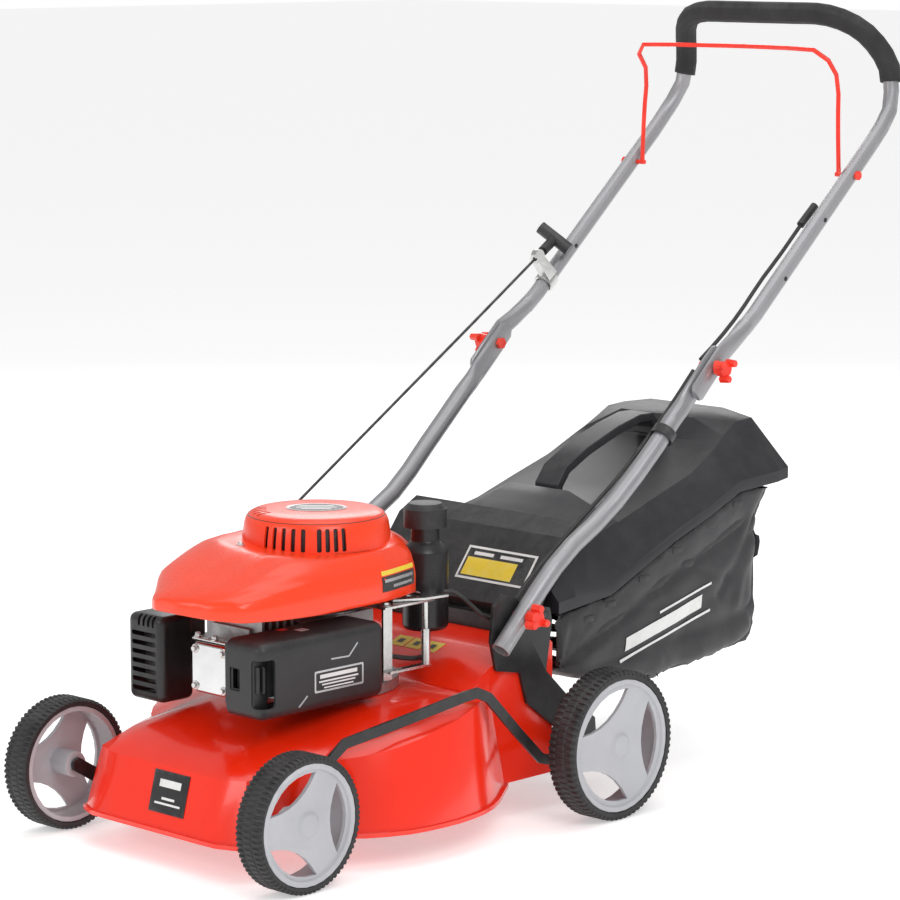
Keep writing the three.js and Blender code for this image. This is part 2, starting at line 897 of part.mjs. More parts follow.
// ---------- starter rope and grip ----------
const eyeX = -168;
const eyeY = 767;
const eyeZ = 608;
const ropeRadius = 1.8;
const ropeExit = [-63, 239, 361];
const ropeKnee = [-139, 621, 539];
const ropeEnd = [eyeX, eyeY, eyeZ];
const along = (from, to, share) => from.map((v, k) => v + (to[k] - v) * share);
const straight = (from, to) => new THREE.LineCurve3(new THREE.Vector3(...from), new THREE.Vector3(...to));
add(
  "starter_rope_lower",
  pipe(straight(ropeExit, along(ropeExit, ropeKnee, 0.998)), ropeRadius, 8, 8),
  0x55585c,
  0.8,
);
add(
  "starter_rope_upper",
  pipe(straight(ropeKnee, along(ropeKnee, ropeEnd, 0.955)), ropeRadius, 8, 6),
  0x55585c,
  0.8,
);
// The rope runs through the guide's eye to the grip.
const ropeWay = new THREE.Vector3(...ropeEnd).sub(new THREE.Vector3(...ropeKnee)).normalize();
const onRope = (distance) => [
  eyeX + ropeWay.x * distance,
  eyeY + ropeWay.y * distance,
  eyeZ + ropeWay.z * distance,
];
add("starter_rope_tail", pipe(straight(onRope(-6.5), onRope(9)), ropeRadius, 8, 2), 0x55585c, 0.8);

const collarWay = straight([-180, 790, 569], [-180, 803, 580.5]);
const guideBody = cut(
  join(
    rod("x", eyeX - 4, eyeX + 4, eyeY, eyeZ, 9, 12),
    prism(
      [
        [eyeY - 4, eyeZ - 4],
        [eyeY + 7, eyeZ + 2],
        [800, 586],
        [786, 575],
      ],
      eyeX - 10,
      eyeX + 3,
    ),
    pipe(collarWay, upperTubeRadius + 3.2, 12, 1),
  ),
  pipe(straight(onRope(-20), onRope(20)), ropeRadius + 1.2, 8, 1),
  pipe(new PartOfCurve(upperCurve, 0.93, 0.999), upperTubeRadius + 0.9, 10, 3),
);
add("rope_guide", guideBody, silver, 0.4, 0.6);

const gripStem = pipe(straight(onRope(13), onRope(40)), 6.5, 12, 1);
const gripBar = pipe(
  straight(
    [onRope(46)[0] - 18, onRope(46)[1] - 8, onRope(46)[2] + 14],
    [onRope(46)[0] + 18, onRope(46)[1] + 8, onRope(46)[2] - 14],
  ),
  8.5,
  12,
  1,
);
add("starter_grip", join(gripStem, gripBar), 0x1b1b1d, 0.6);

// ---------- brake cable ----------
const cableRadius = 2.6;
const cableX = bracketInnerX - 9;
add(
  "brake_cable_upper",
  join(
    pipe(
      curveOf([
        [160, 893, 662],
        [160, 850, 625],
        [160, 816, 598],
        [160, 770, 557],
        [157, 735, 528],
        [157, middlePivotY + 7, middlePivotZ + 7],
      ]),
      cableRadius,
      8,
      10,
    ),
    pipe(straight([160, 890, 660], [160, 918, 682.5]), 5, 10, 1),
  ),
  0x18181a,
  0.6,
);
add(
  "brake_cable_lower",
  pipe(
    curveOf([
      [157, middlePivotY - 6, middlePivotZ - 5],
      [157, 640, 449],
      [154, 560, 382],
      [148, 470, 318],
      [143, 415, 275],
      [cableX, lowerPivotY + 6, lowerPivotZ + 5],
    ]),
    cableRadius,
    8,
    12,
  ),
  0x18181a,
  0.6,
);
add(
  "brake_cable_engine",
  pipe(
    curveOf([
      [cableX, lowerPivotY - 5, lowerPivotZ - 4],
      [136, 354, 240],
      [124, 337, 258],
      [112, 327, 270],
      [103, 317, 271.5],
    ]),
    cableRadius,
    8,
    8,
  ),
  0x18181a,
  0.6,
);

// ---------- engine ----------
const flangeTop = 177;
const crankcaseTop = 262;
const crankcaseBody = cut(
  join(
    rod("z", deckCrownZ + restGap, flangeTop, engineX, deckCentreY, deckCrownRadius - 1, 40),
    rod("z", flangeTop - 1, crankcaseTop - 6, engineX, deckCentreY, 50, 24),
    box(engineX - 54, engineX + 51, 140, 252, flangeTop - 1, crankcaseTop - 8),
    rod("z", crankcaseTop - 9, crankcaseTop, engineX, deckCentreY, 30, 20),
  ),
  rod("z", 100, 300, engineX, deckCentreY, crankshaftRadius + fitGap, 20),
);
add("crankcase", crankcaseBody, castGrey, 0.55, 0.6);

const fins = [0, 1, 2, 3, 4].map((i) =>
  box(engineX - 46, engineX + 46, 84 + i * 11, 88 + i * 11, 178, 264),
);
add(
  "cylinder_head",
  join(box(engineX - 31, engineX + 31, 78, 139.6, 188, 252), ...fins),
  castGrey,
  0.55,
  0.6,
);

const coverOutline = [
  [engineX - 31, 184],
  [engineX - 25, 178],
  [engineX + 25, 178],
  [engineX + 31, 184],
  [engineX + 31, 230],
  [engineX + 25, 236],
  [engineX - 25, 236],
  [engineX - 31, 230],
];
const coverFront = coverOutline.map(([x, z]) => [
  engineX + (x - engineX) * 0.93,
  207 + (z - 207) * 0.93,
]);
const rockerRings = [
  coverOutline.map(([x, z]) => [x, 77.6, z]),
  coverOutline.map(([x, z]) => [x, 50, z]),
  coverFront.map(([x, z]) => [x, 46, z]),
];
add("rocker_cover", loft(rockerRings), silver, 0.35, 0.8);

const guardLeft = -136;
const guardRight = -76;
const guardFront = 45;
const guardRear = 96;
const guardBottom = 154;
const guardTop = 254;
const guardOutline = (inset) => [
  [guardLeft + inset, guardBottom + 10 + inset / 2],
  [guardLeft + 10 + inset / 2, guardBottom + inset],
  [guardRight + (inset > 0 ? 10 : 0), guardBottom + inset],
  [guardRight + (inset > 0 ? 10 : 0), guardTop - inset],
  [guardLeft + 14 + inset / 2, guardTop - inset],
  [guardLeft + inset, guardTop - 14 - inset / 2],
];
const sideSlots = [0, 1, 2, 3, 4, 5, 6].map((i) =>
  box(guardLeft - 5, guardRight - 16, guardFront - 5, guardFront + 14, 171 + i * 10, 176 + i * 10),
);
const topSlots = [0, 1, 2, 3].map((i) =>
  box(-122 + i * 10, -117 + i * 10, guardFront + 6, guardFront + 26, 246, 261),
);
const guardBody = cut(
  prismY(guardOutline(0), guardFront, guardRear),
  prismY(guardOutline(2.5), guardFront + 2.5, guardRear + 10),
  ...sideSlots,
  ...topSlots,
);
add("muffler_guard", guardBody, black, 0.55);

const mufflerBody = join(
  box(-126, -84, 62, 118, 172, 246),
  box(-85, -42, 92, 128, 196, 226),
);
const mufflerFit = cut(mufflerBody, box(-50, 60, 70, 140, 150, 280));
add("muffler", mufflerFit, 0x3b3a3a, 0.6, 0.6);

add(
  "carburettor",
  join(
    box(51.6, 59.5, 96, 136, 196, 240),
    rod("x", 51.6, 59.5, 120, 190, 9, 12),
    rod("y", 130, 206, 57, 226, 1.8, 8),
  ),
  steel,
  0.45,
  0.8,
);

const filterFront = 15;
const filterRear = 205;
add(
  "air_filter_base",
  cut(
    box(60, 65, filterFront + 3, filterRear - 2, 183, 250),
    rod("x", 50, 70, 116, 218, 10, 14),
  ),
  black,
  0.5,
);
const filterOutline = (inset) => [
  [65.4 - (inset > 0 ? 20 : 0), 182 + inset],
  [103, 182 + inset],
  [107 + inset * 0.4, 172 + inset],
  [118 - inset, 170 + inset],
  [122 - inset, 178 + inset],
  [122 - inset, 240 - inset],
  [114 - inset, 251 - inset],
  [96, 256 - inset],
  [65.4 - (inset > 0 ? 20 : 0), 253 - inset],
];
add(
  "air_filter_cover",
  cut(
    prismY(filterOutline(0), filterFront, filterRear),
    prismY(filterOutline(2.5), filterFront + 2.5, filterRear - 2.5),
  ),
  black,
  0.5,
);
add("air_filter_element", box(66.4, 100, 30, 190, 190, 240), 0x3c3f42, 0.95);

const tankX = 51;
const tankY = 340;
const tankRadius = 27;
const neckRadius = 16.5;
const tankBody = new THREE.LatheGeometry(
  [
    [0, 218],
    [tankRadius - 3, 218],
    [tankRadius, 222],
    [tankRadius, 310],
    [neckRadius + 4, 318],
    [neckRadius, 322],
    [neckRadius, 345],
    [0, 345],
  ].map(([r, z]) => new THREE.Vector2(r, z)),
  24,
);
tankBody.rotateX(Math.PI / 2);
tankBody.translate(tankX, tankY, 0);
add("fuel_tank", solid(tankBody), 0x151517, 0.45);

const capRadius = 25.5;
const capBody = cut(
  join(
    rod("z", 338, 360, tankX, tankY, capRadius, 24),
    rod("z", 359, 366, tankX, tankY, capRadius, 24, capRadius - 6),
  ),
  rod("z", 330, 346, tankX, tankY, neckRadius + fitGap, 24),
);
add("fuel_cap", capBody, 0x1a1a1c, 0.55);

add(
  "fuel_hose",
  pipe(
    curveOf([
      [56, 334, 217.4],
      [58, 332, 205],
      [70, 324, 196],
      [80, 302, 193],
      [81, 270, 198],
      [78, 242, 207],
      [69, 224, 218],
      [59.5, 213, 225],
      [57.5, 207, 226],
    ]),
    3,
    8,
    22,
  ),
  0x1a1a1c,
  0.5,
);

// Shroud: cross sections from nose to tail as [y, right x, left x, bottom z, edge z, crown z].
const shroudSections = [
  [-24, -8, 30, 283, 289, 298],
  [-14, -24, 70, 281, 290, 303],
  [6, -42, 102, 279, 292, 310],
  [50, -88, 113, 277, 295, 325],
  [112, -112, 116, 275, 296, 346],
  [213, -116, 116, 275, 296, 353],
  [280, -108, 98, 275, 296, 348],
  [302, -98, 50, 274, 295, 343],
  [326, -84, 20, 272, 292, 336],
  [354, -62, 16, 270, 288, 322],
  [376, -40, 10, 268, 280, 300],
];

function shroudSolid(inset) {
  const steps = 10;
  const last = shroudSections.length - 1;
  const rings = shroudSections.map(([y, right, left, bottom, edge, crown], n) => {
    const shift = (n === 0 ? inset : 0) - (n === last ? inset : 0);
    const ring = [];
    const low = right + inset;
    const high = left - inset;
    const middle = (low + high) / 2;
    const half = (high - low) / 2;
    for (let i = 0; i <= steps; i += 1) {
      const turn = Math.PI * (i / steps);
      const c = Math.cos(turn);
      const across = Math.sign(c) * Math.abs(c) ** 0.75;
      const rise = Math.sin(turn) ** 0.9;
      ring.push([middle + half * across, y + shift, edge - inset + (crown - edge) * rise]);
    }
    const floor = inset > 0 ? bottom - 8 : bottom;
    ring.push([low, y + shift, floor]);
    ring.push([high, y + shift, floor]);
    return ring;
  });
  return loft(rings);
}

const capRimRadius = 86;
const capTopRadius = 77;
const recoilTopZ = 370;
const shroudWall = 2.6;
const shroudBody = cut(
  shroudSolid(0),
  shroudSolid(shroudWall),
  rod("z", 300, 400, engineX, deckCentreY, 62, 28),
);
add("engine_shroud", shroudBody, red, 0.3);

const recoilOuter = join(
  rod("z", 312, 362, engineX, deckCentreY, capRimRadius, 32, capTopRadius),
  rod("z", 361, recoilTopZ, engineX, deckCentreY, capTopRadius, 32, capTopRadius - 9),
);
const recoilInner = rod(
  "z",
  300,
  recoilTopZ - 5,
  engineX,
  deckCentreY,
  capRimRadius - 5,
  32,
  capTopRadius - 9,
);
const recoilSlots = [];
for (let i = 0; i < 9; i += 1) {
  const turn = -64 + i * 13 + (i > 4 ? 8 : 0);
  const slot = box(engineX + 60, engineX + 100, deckCentreY - 2.5, deckCentreY + 2.5, 345, 360);
  const spot = slot
    .translate([-engineX, -deckCentreY - 3, 0])
    .rotate([0, 0, turn])
    .translate([engineX, deckCentreY, 0]);
  recoilSlots.push(spot);
}
const recoilBody = cut(
  recoilOuter,
  recoilInner,
  shroudSolid(-restGap),
  ...recoilSlots,
  pipe(straight(along(ropeExit, ropeKnee, -0.08), along(ropeExit, ropeKnee, 0.3)), 4, 10, 1),
);
add("recoil_cover", recoilBody, red, 0.3);

const fanBlades = [];
for (let i = 0; i < 10; i += 1) {
  const blade = box(48, 70, -1.5, 1.5, 285, 300);
  fanBlades.push(blade.rotate([0, 0, i * 36 + 18]).translate([engineX, deckCentreY, 0]));
}
const flywheelBody = cut(
  join(
    rod("z", crankcaseTop + 4, 286, engineX, deckCentreY, 72, 32),
    ...fanBlades,
  ),
  rod("z", 200, 320, engineX, deckCentreY, 8 + fitGap, 16),
);
add("flywheel", flywheelBody, castGrey, 0.5, 0.7);

const crankshaftBody = join(
  rod("z", bladeZ + 4 + restGap, bladeZ + 16, engineX, deckCentreY, 25, 20),
  rod("z", bladeZ + 15, crankcaseTop + 2, engineX, deckCentreY, crankshaftRadius, 20),
  rod("z", crankcaseTop + 1, 300, engineX, deckCentreY, 8, 16),
);
add("crankshaft", crankshaftBody, steel, 0.3, 0.9);

add(
  "recoil_pulley",
  join(
    rod("z", 309, 313, engineX, deckCentreY, 42, 28),
    rod("z", 312, 320, engineX, deckCentreY, 35, 28),
    rod("z", 319, 323, engineX, deckCentreY, 42, 28),
  ),
  black,
  0.5,
);

const bladeHalf = Math.sqrt(bladeRadius ** 2 - 22.5 ** 2);
const wing = (side) =>
  prism(
    [
      [22.5 * side, bladeZ + 4],
      [22.5 * side, bladeZ],
      [6 * side, bladeZ],
      [12 * side, bladeZ + 4],
      [20 * side, bladeZ + 18],
      [22.5 * side, bladeZ + 18],
    ],
    side > 0 ? 120 : -bladeHalf,
    side > 0 ? bladeHalf : -120,
  ).translate([engineX, deckCentreY, 0]);
const bladeBody = cut(
  join(
    box(engineX - bladeHalf, engineX + bladeHalf, deckCentreY - 22.5, deckCentreY + 22.5, bladeZ, bladeZ + 4),
    wing(1),
    wing(-1),
  ),
  rod("z", 40, 90, engineX, deckCentreY, 5 + fitGap, 16),
);
add("blade", bladeBody, 0x55585d, 0.45, 0.8);
add(
  "blade_bolt",
  join(
    rod("z", bladeZ - 12, bladeZ - restGap, engineX, deckCentreY, 10, 6),
    rod("z", bladeZ - 1, bladeZ + 4, engineX, deckCentreY, 5, 16),
  ),
  steel,
  0.35,
  0.9,
);

const controlBody = cut(
  join(
    box(56, 100, 226, 306, 262, 264.5),
    box(88, 91, 232, 246, flangeTop + restGap, 263),
    box(88, 98, 236, 302, 186, 189),
    rod("z", 187, 263, 94, 297, 3.5, 10),
    rod("z", 188, 230, 94, 297, 5.5, 10),
  ),
  rod("z", 250, 280, 78, 262, 3 + fitGap, 12),
);
add("control_bracket", controlBody, silver, 0.35, 0.8);

add(
  "brake_lever",
  join(
    prismZ(
      [
        [70, 256],
        [84, 254],
        [102, 288],
        [107, 322],
        [99, 324],
        [90, 292],
      ],
      265,
      268,
    ),
    rod("z", 256, 270, 78, 262, 3, 12),
  ),
  silver,
  0.3,
  0.9,
);

// ---------- rear flap ----------
add(
  "flap_hinge_bar",
  join(
    box(-142, 142, 422, 430, tunnelTopZ + restGap, hingeZ - 9),
    rod("x", -bracketOuterX, bracketOuterX, hingeY, hingeZ, hingeRodRadius, 12),
    box(restGap - bracketInnerX, -141, 424, hingeY + 3, tunnelTopZ + 8, hingeZ),
    box(141, bracketInnerX - restGap, 424, hingeY + 3, tunnelTopZ + 8, hingeZ),
  ),
  black,
  0.55,
);
const flapOutline = [
  [hingeY - 8, hingeZ + 4],
  [hingeY - 2, hingeZ - 7],
  [hingeY + 5, hingeZ - 6],
  [490, 311],
  [518, 328],
  [516, 332],
  [486, 316],
];
add(
  "rear_flap",
  cut(
    prism(flapOutline, -flapHalfWidth, flapHalfWidth),
    rod("x", -150, 150, hingeY, hingeZ, hingeRodRadius + fitGap, 12),
  ),
  black,
  0.55,
);

// ---------- grass catcher ----------
// The lower edge of the lid, which the bag hangs from.
const rimLine = [
  [462, 230],
  [555, 240],
  [671, 290],
  [735, 312],
  [793, 336],
  [866, 340],
  [886, 343],
];
// Stations along the lid as [y, shoulder x, shoulder z, middle x, middle z]. The middle drops between
// 590 and 800 to leave hand room under the carry handle.
const lidStations = [
  [462, 138, 256, 70, 261],
  [492, 134, 288, 68, 303],
  [526, 128, 304, 62, 322],
  [555, 124, 310, 56, 334],
  [572, 122, 313, 52, 342],
  [590, 120, 317, 48, 350],
  [600, 120, 319, 50, 326],
  [671, 119, 342, 56, 346],
  [735, 118, 362, 58, 366],
  [780, 114, 384, 60, 386],
  [793, 111, 391, 60, 392],
  [808, 108, 400, 60, 418],
  [835, 106, 415, 60, 424],
  [866, 106, 417, 60, 425],
  [886, 106, 396, 60, 402],
];

function lidSolid(inset) {
  const last = lidStations.length - 1;
  const rings = lidStations.map(([y, shoulderX, shoulderZ, middleX, middleZ], n) => {
    const shift = (n === 0 ? inset : 0) - (n === last ? inset : 0);
    const rimZ = valueAt(rimLine, y);
    const half = [
      [lidHalfWidth - inset, rimZ - (inset > 0 ? 30 : 0)],
      [lidHalfWidth - inset, rimZ + 14 - inset],
      [shoulderX - inset * 0.6, shoulderZ - inset],
      [middleX, middleZ - inset],
    ];
    const other = [...half].reverse().map(([x, z]) => [-x, z]);
    return [...half, ...other].map(([x, z]) => [x, y + shift, z]);
  });
  return loft(rings);
}

add("catcher_lid", cut(lidSolid(0), lidSolid(3)), black, 0.6);

// The carry handle is a flat arch standing on the lid's middle.
const handleStations = [
  [0, 607, 330.1],
  [0, 607, 350],
  [0, 622, 369],
  [0, 660, 388],
  [0, 716, 408],
  [0, 756, 418],
  [0, 778, 418],
  [0, 787, 406],
  [0, 787, 395],
];
add("catcher_handle", strap(handleStations, 38, 11), black, 0.6);

const bagBottom = [
  [466, 222],
  [462, 190],
  [470, 158],
  [520, 140],
  [640, 125],
  [731, 132],
  [823, 144],
  [832, 161],
  [834, 193],
  [834, 300],
  [862, 339.8],
];
const bagRim = [
  [793, 336],
  [735, 312],
  [671, 290],
  [555, 240],
  [466, 230.4],
];
const bagOutline = [...bagBottom, ...bagRim].map(([y, z]) => [y, z - 0.6]);
const bagInner = [
  [440, 222],
  [440, 176],
  [474, 161],
  [521, 143.5],
  [640, 128.5],
  [730, 135.5],
  [819, 147.5],
  [828.5, 163],
  [830.5, 193],
  [830.5, 302],
  [858, 341],
  [860, 370],
  [793, 370],
  [735, 340],
  [671, 318],
  [555, 268],
  [470, 222],
];
add(
  "catcher_bag",
  cut(
    prism(bagOutline, -bagHalfWidth, bagHalfWidth),
    prism(bagInner, -bagHalfWidth + 3.2, bagHalfWidth - 3.2),
  ),
  0x26272b,
  0.9,
);

const frameRadius = 3.5;
const frameBody = join(
  rod("x", -136, 136, 480, 167, frameRadius, 10),
  ...[1, -1].map((side) =>
    mirrored(
      join(
        rod("z", 165, 216, 134, 480, frameRadius, 10),
        rod("z", 163.5, 170, 134, 480, frameRadius + 1, 10),
      ),
      side,
    ),
  ),
);
add("catcher_frame", frameBody, 0x202022, 0.5, 0.5);

export default machine;
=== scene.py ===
# Push lawn mower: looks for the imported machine. Lengths are in millimetres until they reach Blender.
import json
import math

import bmesh
import bpy
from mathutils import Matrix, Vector, noise
from mathutils.bvhtree import BVHTree

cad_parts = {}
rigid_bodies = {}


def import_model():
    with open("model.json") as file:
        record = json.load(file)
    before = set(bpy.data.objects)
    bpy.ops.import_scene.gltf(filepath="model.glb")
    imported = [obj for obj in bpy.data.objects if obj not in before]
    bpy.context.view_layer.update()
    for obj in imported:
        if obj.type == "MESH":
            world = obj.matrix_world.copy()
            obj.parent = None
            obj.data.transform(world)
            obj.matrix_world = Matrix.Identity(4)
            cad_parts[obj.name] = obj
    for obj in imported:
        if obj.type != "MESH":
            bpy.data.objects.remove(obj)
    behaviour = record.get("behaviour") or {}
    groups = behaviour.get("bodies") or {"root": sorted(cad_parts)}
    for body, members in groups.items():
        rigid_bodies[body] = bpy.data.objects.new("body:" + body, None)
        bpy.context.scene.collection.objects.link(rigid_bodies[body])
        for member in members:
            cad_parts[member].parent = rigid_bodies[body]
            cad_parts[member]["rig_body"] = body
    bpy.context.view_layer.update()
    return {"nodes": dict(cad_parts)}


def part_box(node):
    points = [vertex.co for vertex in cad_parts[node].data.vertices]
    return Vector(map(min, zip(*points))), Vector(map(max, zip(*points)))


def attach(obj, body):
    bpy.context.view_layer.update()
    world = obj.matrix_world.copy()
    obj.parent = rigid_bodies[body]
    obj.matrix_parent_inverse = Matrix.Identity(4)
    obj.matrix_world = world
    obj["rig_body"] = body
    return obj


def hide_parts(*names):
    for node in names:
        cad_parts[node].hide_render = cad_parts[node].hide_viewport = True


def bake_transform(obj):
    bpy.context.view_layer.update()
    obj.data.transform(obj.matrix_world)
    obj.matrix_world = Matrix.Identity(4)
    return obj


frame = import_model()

scene = bpy.context.scene

# every station along the mower is measured from the front axle, as on the machine's own drawing
tyreLow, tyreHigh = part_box("tyre_front_left")
axleY = (tyreLow.y + tyreHigh.y) / 2 * 1000


def at(x, y, z):
    return Vector((x, y + axleY, z)) / 1000


def inMm(point):
    # the way back from at(): a Blender point in mm, with y from the front axle
    return point.x * 1000, point.y * 1000 - axleY, point.z * 1000


def nodeBox(node):
    low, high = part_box(node)
    shift = Vector((0, axleY, 0))
    return low * 1000 - shift, high * 1000 - shift


# camera, floor and light
cameraSet = {"place": (2.8171, -2.9560, 1.0305), "target": (0, -0.0629, 0.4117), "lens": 137.87, "near": 0.05}


def aimAt(thing, place, target):
    thing.location = place
    thing.rotation_mode = "QUATERNION"
    thing.rotation_quaternion = (Vector(target) - thing.location).to_track_quat("-Z", "Y")
    scene.collection.objects.link(thing)


def makeCamera():
    data = bpy.data.cameras.new("studioCamera")
    data.lens = cameraSet["lens"]
    data.clip_start = cameraSet["near"]
    camera = bpy.data.objects.new("studioCamera", data)
    aimAt(camera, cameraSet["place"], cameraSet["target"])
    scene.camera = camera


lampSet = {
    # name: place, aim, width and depth in metres, watts
    "keyPanel": ((2.6, -1.2, 2.6), (0.0, 0.0, 0.3), (1.8, 1.8), 40),
    "frontPanel": ((-0.6, -3.2, 1.7), (0.0, -0.3, 0.2), (1.6, 1.2), 18),
    "topPanel": ((0.0, 0.2, 3.2), (0.0, 0.0, 0.0), (2.4, 2.4), 26),
    "backPanel": ((-2.2, 2.4, 1.8), (0.0, 0.2, 0.4), (1.6, 1.2), 18),
}


roomSet = {"light": 0.52, "backdrop": 1.0}
floorSet = {"half": 30, "shade": 0.93, "roughness": 0.7, "glow": 0.42}


def makeLamps():
    for name, (place, aim, size, watts) in lampSet.items():
        data = bpy.data.lights.new(name, "AREA")
        data.shape = "RECTANGLE"
        data.size, data.size_y = size
        data.energy = watts
        aimAt(bpy.data.objects.new(name, data), place, aim)
    world = bpy.data.worlds.new("studioRoom")
    world.use_nodes = True
    glow = world.node_tree.nodes["Background"]
    glow.inputs["Color"].default_value = (1, 1, 1, 1)
    seen = world.node_tree.nodes.new("ShaderNodeLightPath").outputs["Is Camera Ray"]
    strength = world.node_tree.nodes.new("ShaderNodeMapRange")
    world.node_tree.links.new(seen, strength.inputs["Value"])
    strength.inputs["To Min"].default_value = roomSet["light"]
    strength.inputs["To Max"].default_value = roomSet["backdrop"]
    world.node_tree.links.new(strength.outputs["Result"], glow.inputs["Strength"])
    scene.world = world


def makeFloor():
    mesh = bpy.data.meshes.new("studioFloor")
    half = floorSet["half"]
    corners = [(-half, -half, 0), (half, -half, 0), (half, half, 0), (-half, half, 0)]
    mesh.from_pydata(corners, [], [(0, 1, 2, 3)])
    floor = bpy.data.objects.new("studioFloor", mesh)
    scene.collection.objects.link(floor)
    finish = bpy.data.materials.new("paleFloor")
    finish.use_nodes = True
    shader = finish.node_tree.nodes["Principled BSDF"]
    shader.inputs["Base Color"].default_value = (*[floorSet["shade"]] * 3, 1)
    shader.inputs["Roughness"].default_value = floorSet["roughness"]
    shader.inputs["Emission Color"].default_value = (1, 1, 1, 1)
    shader.inputs["Emission Strength"].default_value = floorSet["glow"]
    mesh.materials.append(finish)


scene.view_settings.view_transform = "Standard"
makeCamera()
makeLamps()
makeFloor()
print("studio ready")


# shader node groups
def feed(tree, node, feeds):
    # each source is linked if it is a socket, and set as a value if not
    for socket, source in feeds.items():
        if isinstance(source, bpy.types.NodeSocket):
            tree.links.new(source, node.inputs[socket])
        else:
            node.inputs[socket].default_value = source


def addNode(tree, kind, feeds=None, **settings):
    node = tree.nodes.new(kind)
    for key, value in settings.items():
        setattr(node, key, value)
    feed(tree, node, feeds or {})
    return node


def newGroup(name, inputs, outputs):
    tree = bpy.data.node_groups.new(name, "ShaderNodeTree")
    for label, kind, value in inputs:
        socket = tree.interface.new_socket(name=label, in_out="INPUT", socket_type="NodeSocket" + kind)
        if value is not None:
            socket.default_value = value
    for label, kind in outputs:
        tree.interface.new_socket(name=label, in_out="OUTPUT", socket_type="NodeSocket" + kind)
    return tree, tree.nodes.new("NodeGroupInput").outputs, tree.nodes.new("NodeGroupOutput")


def noiseAt(tree, place, scale, detail=3.0, roughness=0.5):
    feeds = {"Vector": place, "Scale": scale, "Detail": detail, "Roughness": roughness}
    return addNode(tree, "ShaderNodeTexNoise", feeds).outputs["Fac"]


def ramp(tree, value, low, high, toLow=0.0, toHigh=1.0):
    feeds = {"Value": value, "From Min": low, "From Max": high, "To Min": toLow, "To Max": toHigh}
    return addNode(tree, "ShaderNodeMapRange", feeds).outputs["Result"]


def maths(tree, operation, first, second=0.0):
    return addNode(tree, "ShaderNodeMath", {0: first, 1: second}, operation=operation).outputs[0]


def blendColor(tree, share, first, second):
    # of a colour mix node's sockets, 0 is the factor and 6 and 7 are the two colours
    feeds = {0: share, 6: first, 7: second}
    return addNode(tree, "ShaderNodeMix", feeds, data_type="RGBA").outputs[2]


def makeUnevenTint():
    # soft patches a little lighter and darker than the colour that comes in
    tree, given, result = newGroup(
        "unevenTint",
        [("Color", "Color", (0.5, 0.5, 0.5, 1)), ("Scale", "Float", 18.0), ("Amount", "Float", 0.12)],
        [("Color", "Color"), ("Patch", "Float")],
    )
    place = addNode(tree, "ShaderNodeTexCoord").outputs["Object"]
    patch = noiseAt(tree, place, given["Scale"], 4.0, 0.6)
    swing = ramp(tree, patch, 0.3, 0.7, -1.0, 1.0)
    value = maths(tree, "ADD", maths(tree, "MULTIPLY", swing, given["Amount"]), 1.0)
    tint = addNode(tree, "ShaderNodeHueSaturation", {"Color": given["Color"], "Value": value})
    feed(tree, result, {"Color": tint.outputs["Color"], "Patch": patch})
    return tree


def makeEdgeWear():
    # bare or polished colour along the sharpest edges, broken up by noise
    tree, given, result = newGroup(
        "edgeWear",
        [
            ("Color", "Color", (0.5, 0.5, 0.5, 1)),
            ("Worn Color", "Color", (0.7, 0.7, 0.7, 1)),
            ("Amount", "Float", 0.5),
            ("Scale", "Float", 60.0),
        ],
        [("Color", "Color"), ("Mask", "Float")],
    )
    point = addNode(tree, "ShaderNodeNewGeometry").outputs["Pointiness"]
    edge = ramp(tree, point, 0.53, 0.62)
    place = addNode(tree, "ShaderNodeTexCoord").outputs["Object"]
    broken = ramp(tree, noiseAt(tree, place, given["Scale"], 5.0, 0.65), 0.42, 0.66)
    mask = maths(tree, "MULTIPLY", maths(tree, "MULTIPLY", edge, broken), given["Amount"])
    color = blendColor(tree, mask, given["Color"], given["Worn Color"])
    feed(tree, result, {"Color": color, "Mask": mask})
    return tree


def makeDustFilm():
    # a thin pale film on what faces up, in soft patches
    tree, given, result = newGroup(
        "dustFilm",
        [
            ("Color", "Color", (0.5, 0.5, 0.5, 1)),
            ("Dust Color", "Color", (0.45, 0.43, 0.4, 1)),
            ("Roughness", "Float", 0.4),
            ("Amount", "Float", 0.1),
            ("Scale", "Float", 30.0),
        ],
        [("Color", "Color"), ("Roughness", "Float"), ("Mask", "Float")],
    )
    normal = addNode(tree, "ShaderNodeNewGeometry").outputs["Normal"]
    upward = addNode(tree, "ShaderNodeSeparateXYZ", {0: normal}).outputs["Z"]
    place = addNode(tree, "ShaderNodeTexCoord").outputs["Object"]
    patch = ramp(tree, noiseAt(tree, place, given["Scale"], 5.0, 0.7), 0.35, 0.75)
    mask = maths(tree, "MULTIPLY", ramp(tree, upward, 0.1, 0.9, 0.25, 1.0), patch)
    mask = maths(tree, "MULTIPLY", mask, given["Amount"])
    color = blendColor(tree, mask, given["Color"], given["Dust Color"])
    rough = maths(tree, "ADD", given["Roughness"], maths(tree, "MULTIPLY", mask, 0.6))
    feed(tree, result, {"Color": color, "Roughness": rough, "Mask": mask})
    return tree


def makeFineGrain():
    # the pebbled surface of moulded plastic, cast metal or a sprayed coat
    tree, given, result = newGroup(
        "fineGrain",
        [("Scale", "Float", 900.0), ("Strength", "Float", 0.2), ("Depth", "Float", 0.0004)],
        [("Normal", "Vector"), ("Grain", "Float")],
    )
    place = addNode(tree, "ShaderNodeTexCoord").outputs["Object"]
    grain = noiseAt(tree, place, given["Scale"], 2.0, 0.5)
    feeds = {"Height": grain, "Strength": given["Strength"], "Distance": given["Depth"]}
    bump = addNode(tree, "ShaderNodeBump", feeds)
    feed(tree, result, {"Normal": bump.outputs["Normal"], "Grain": grain})
    return tree


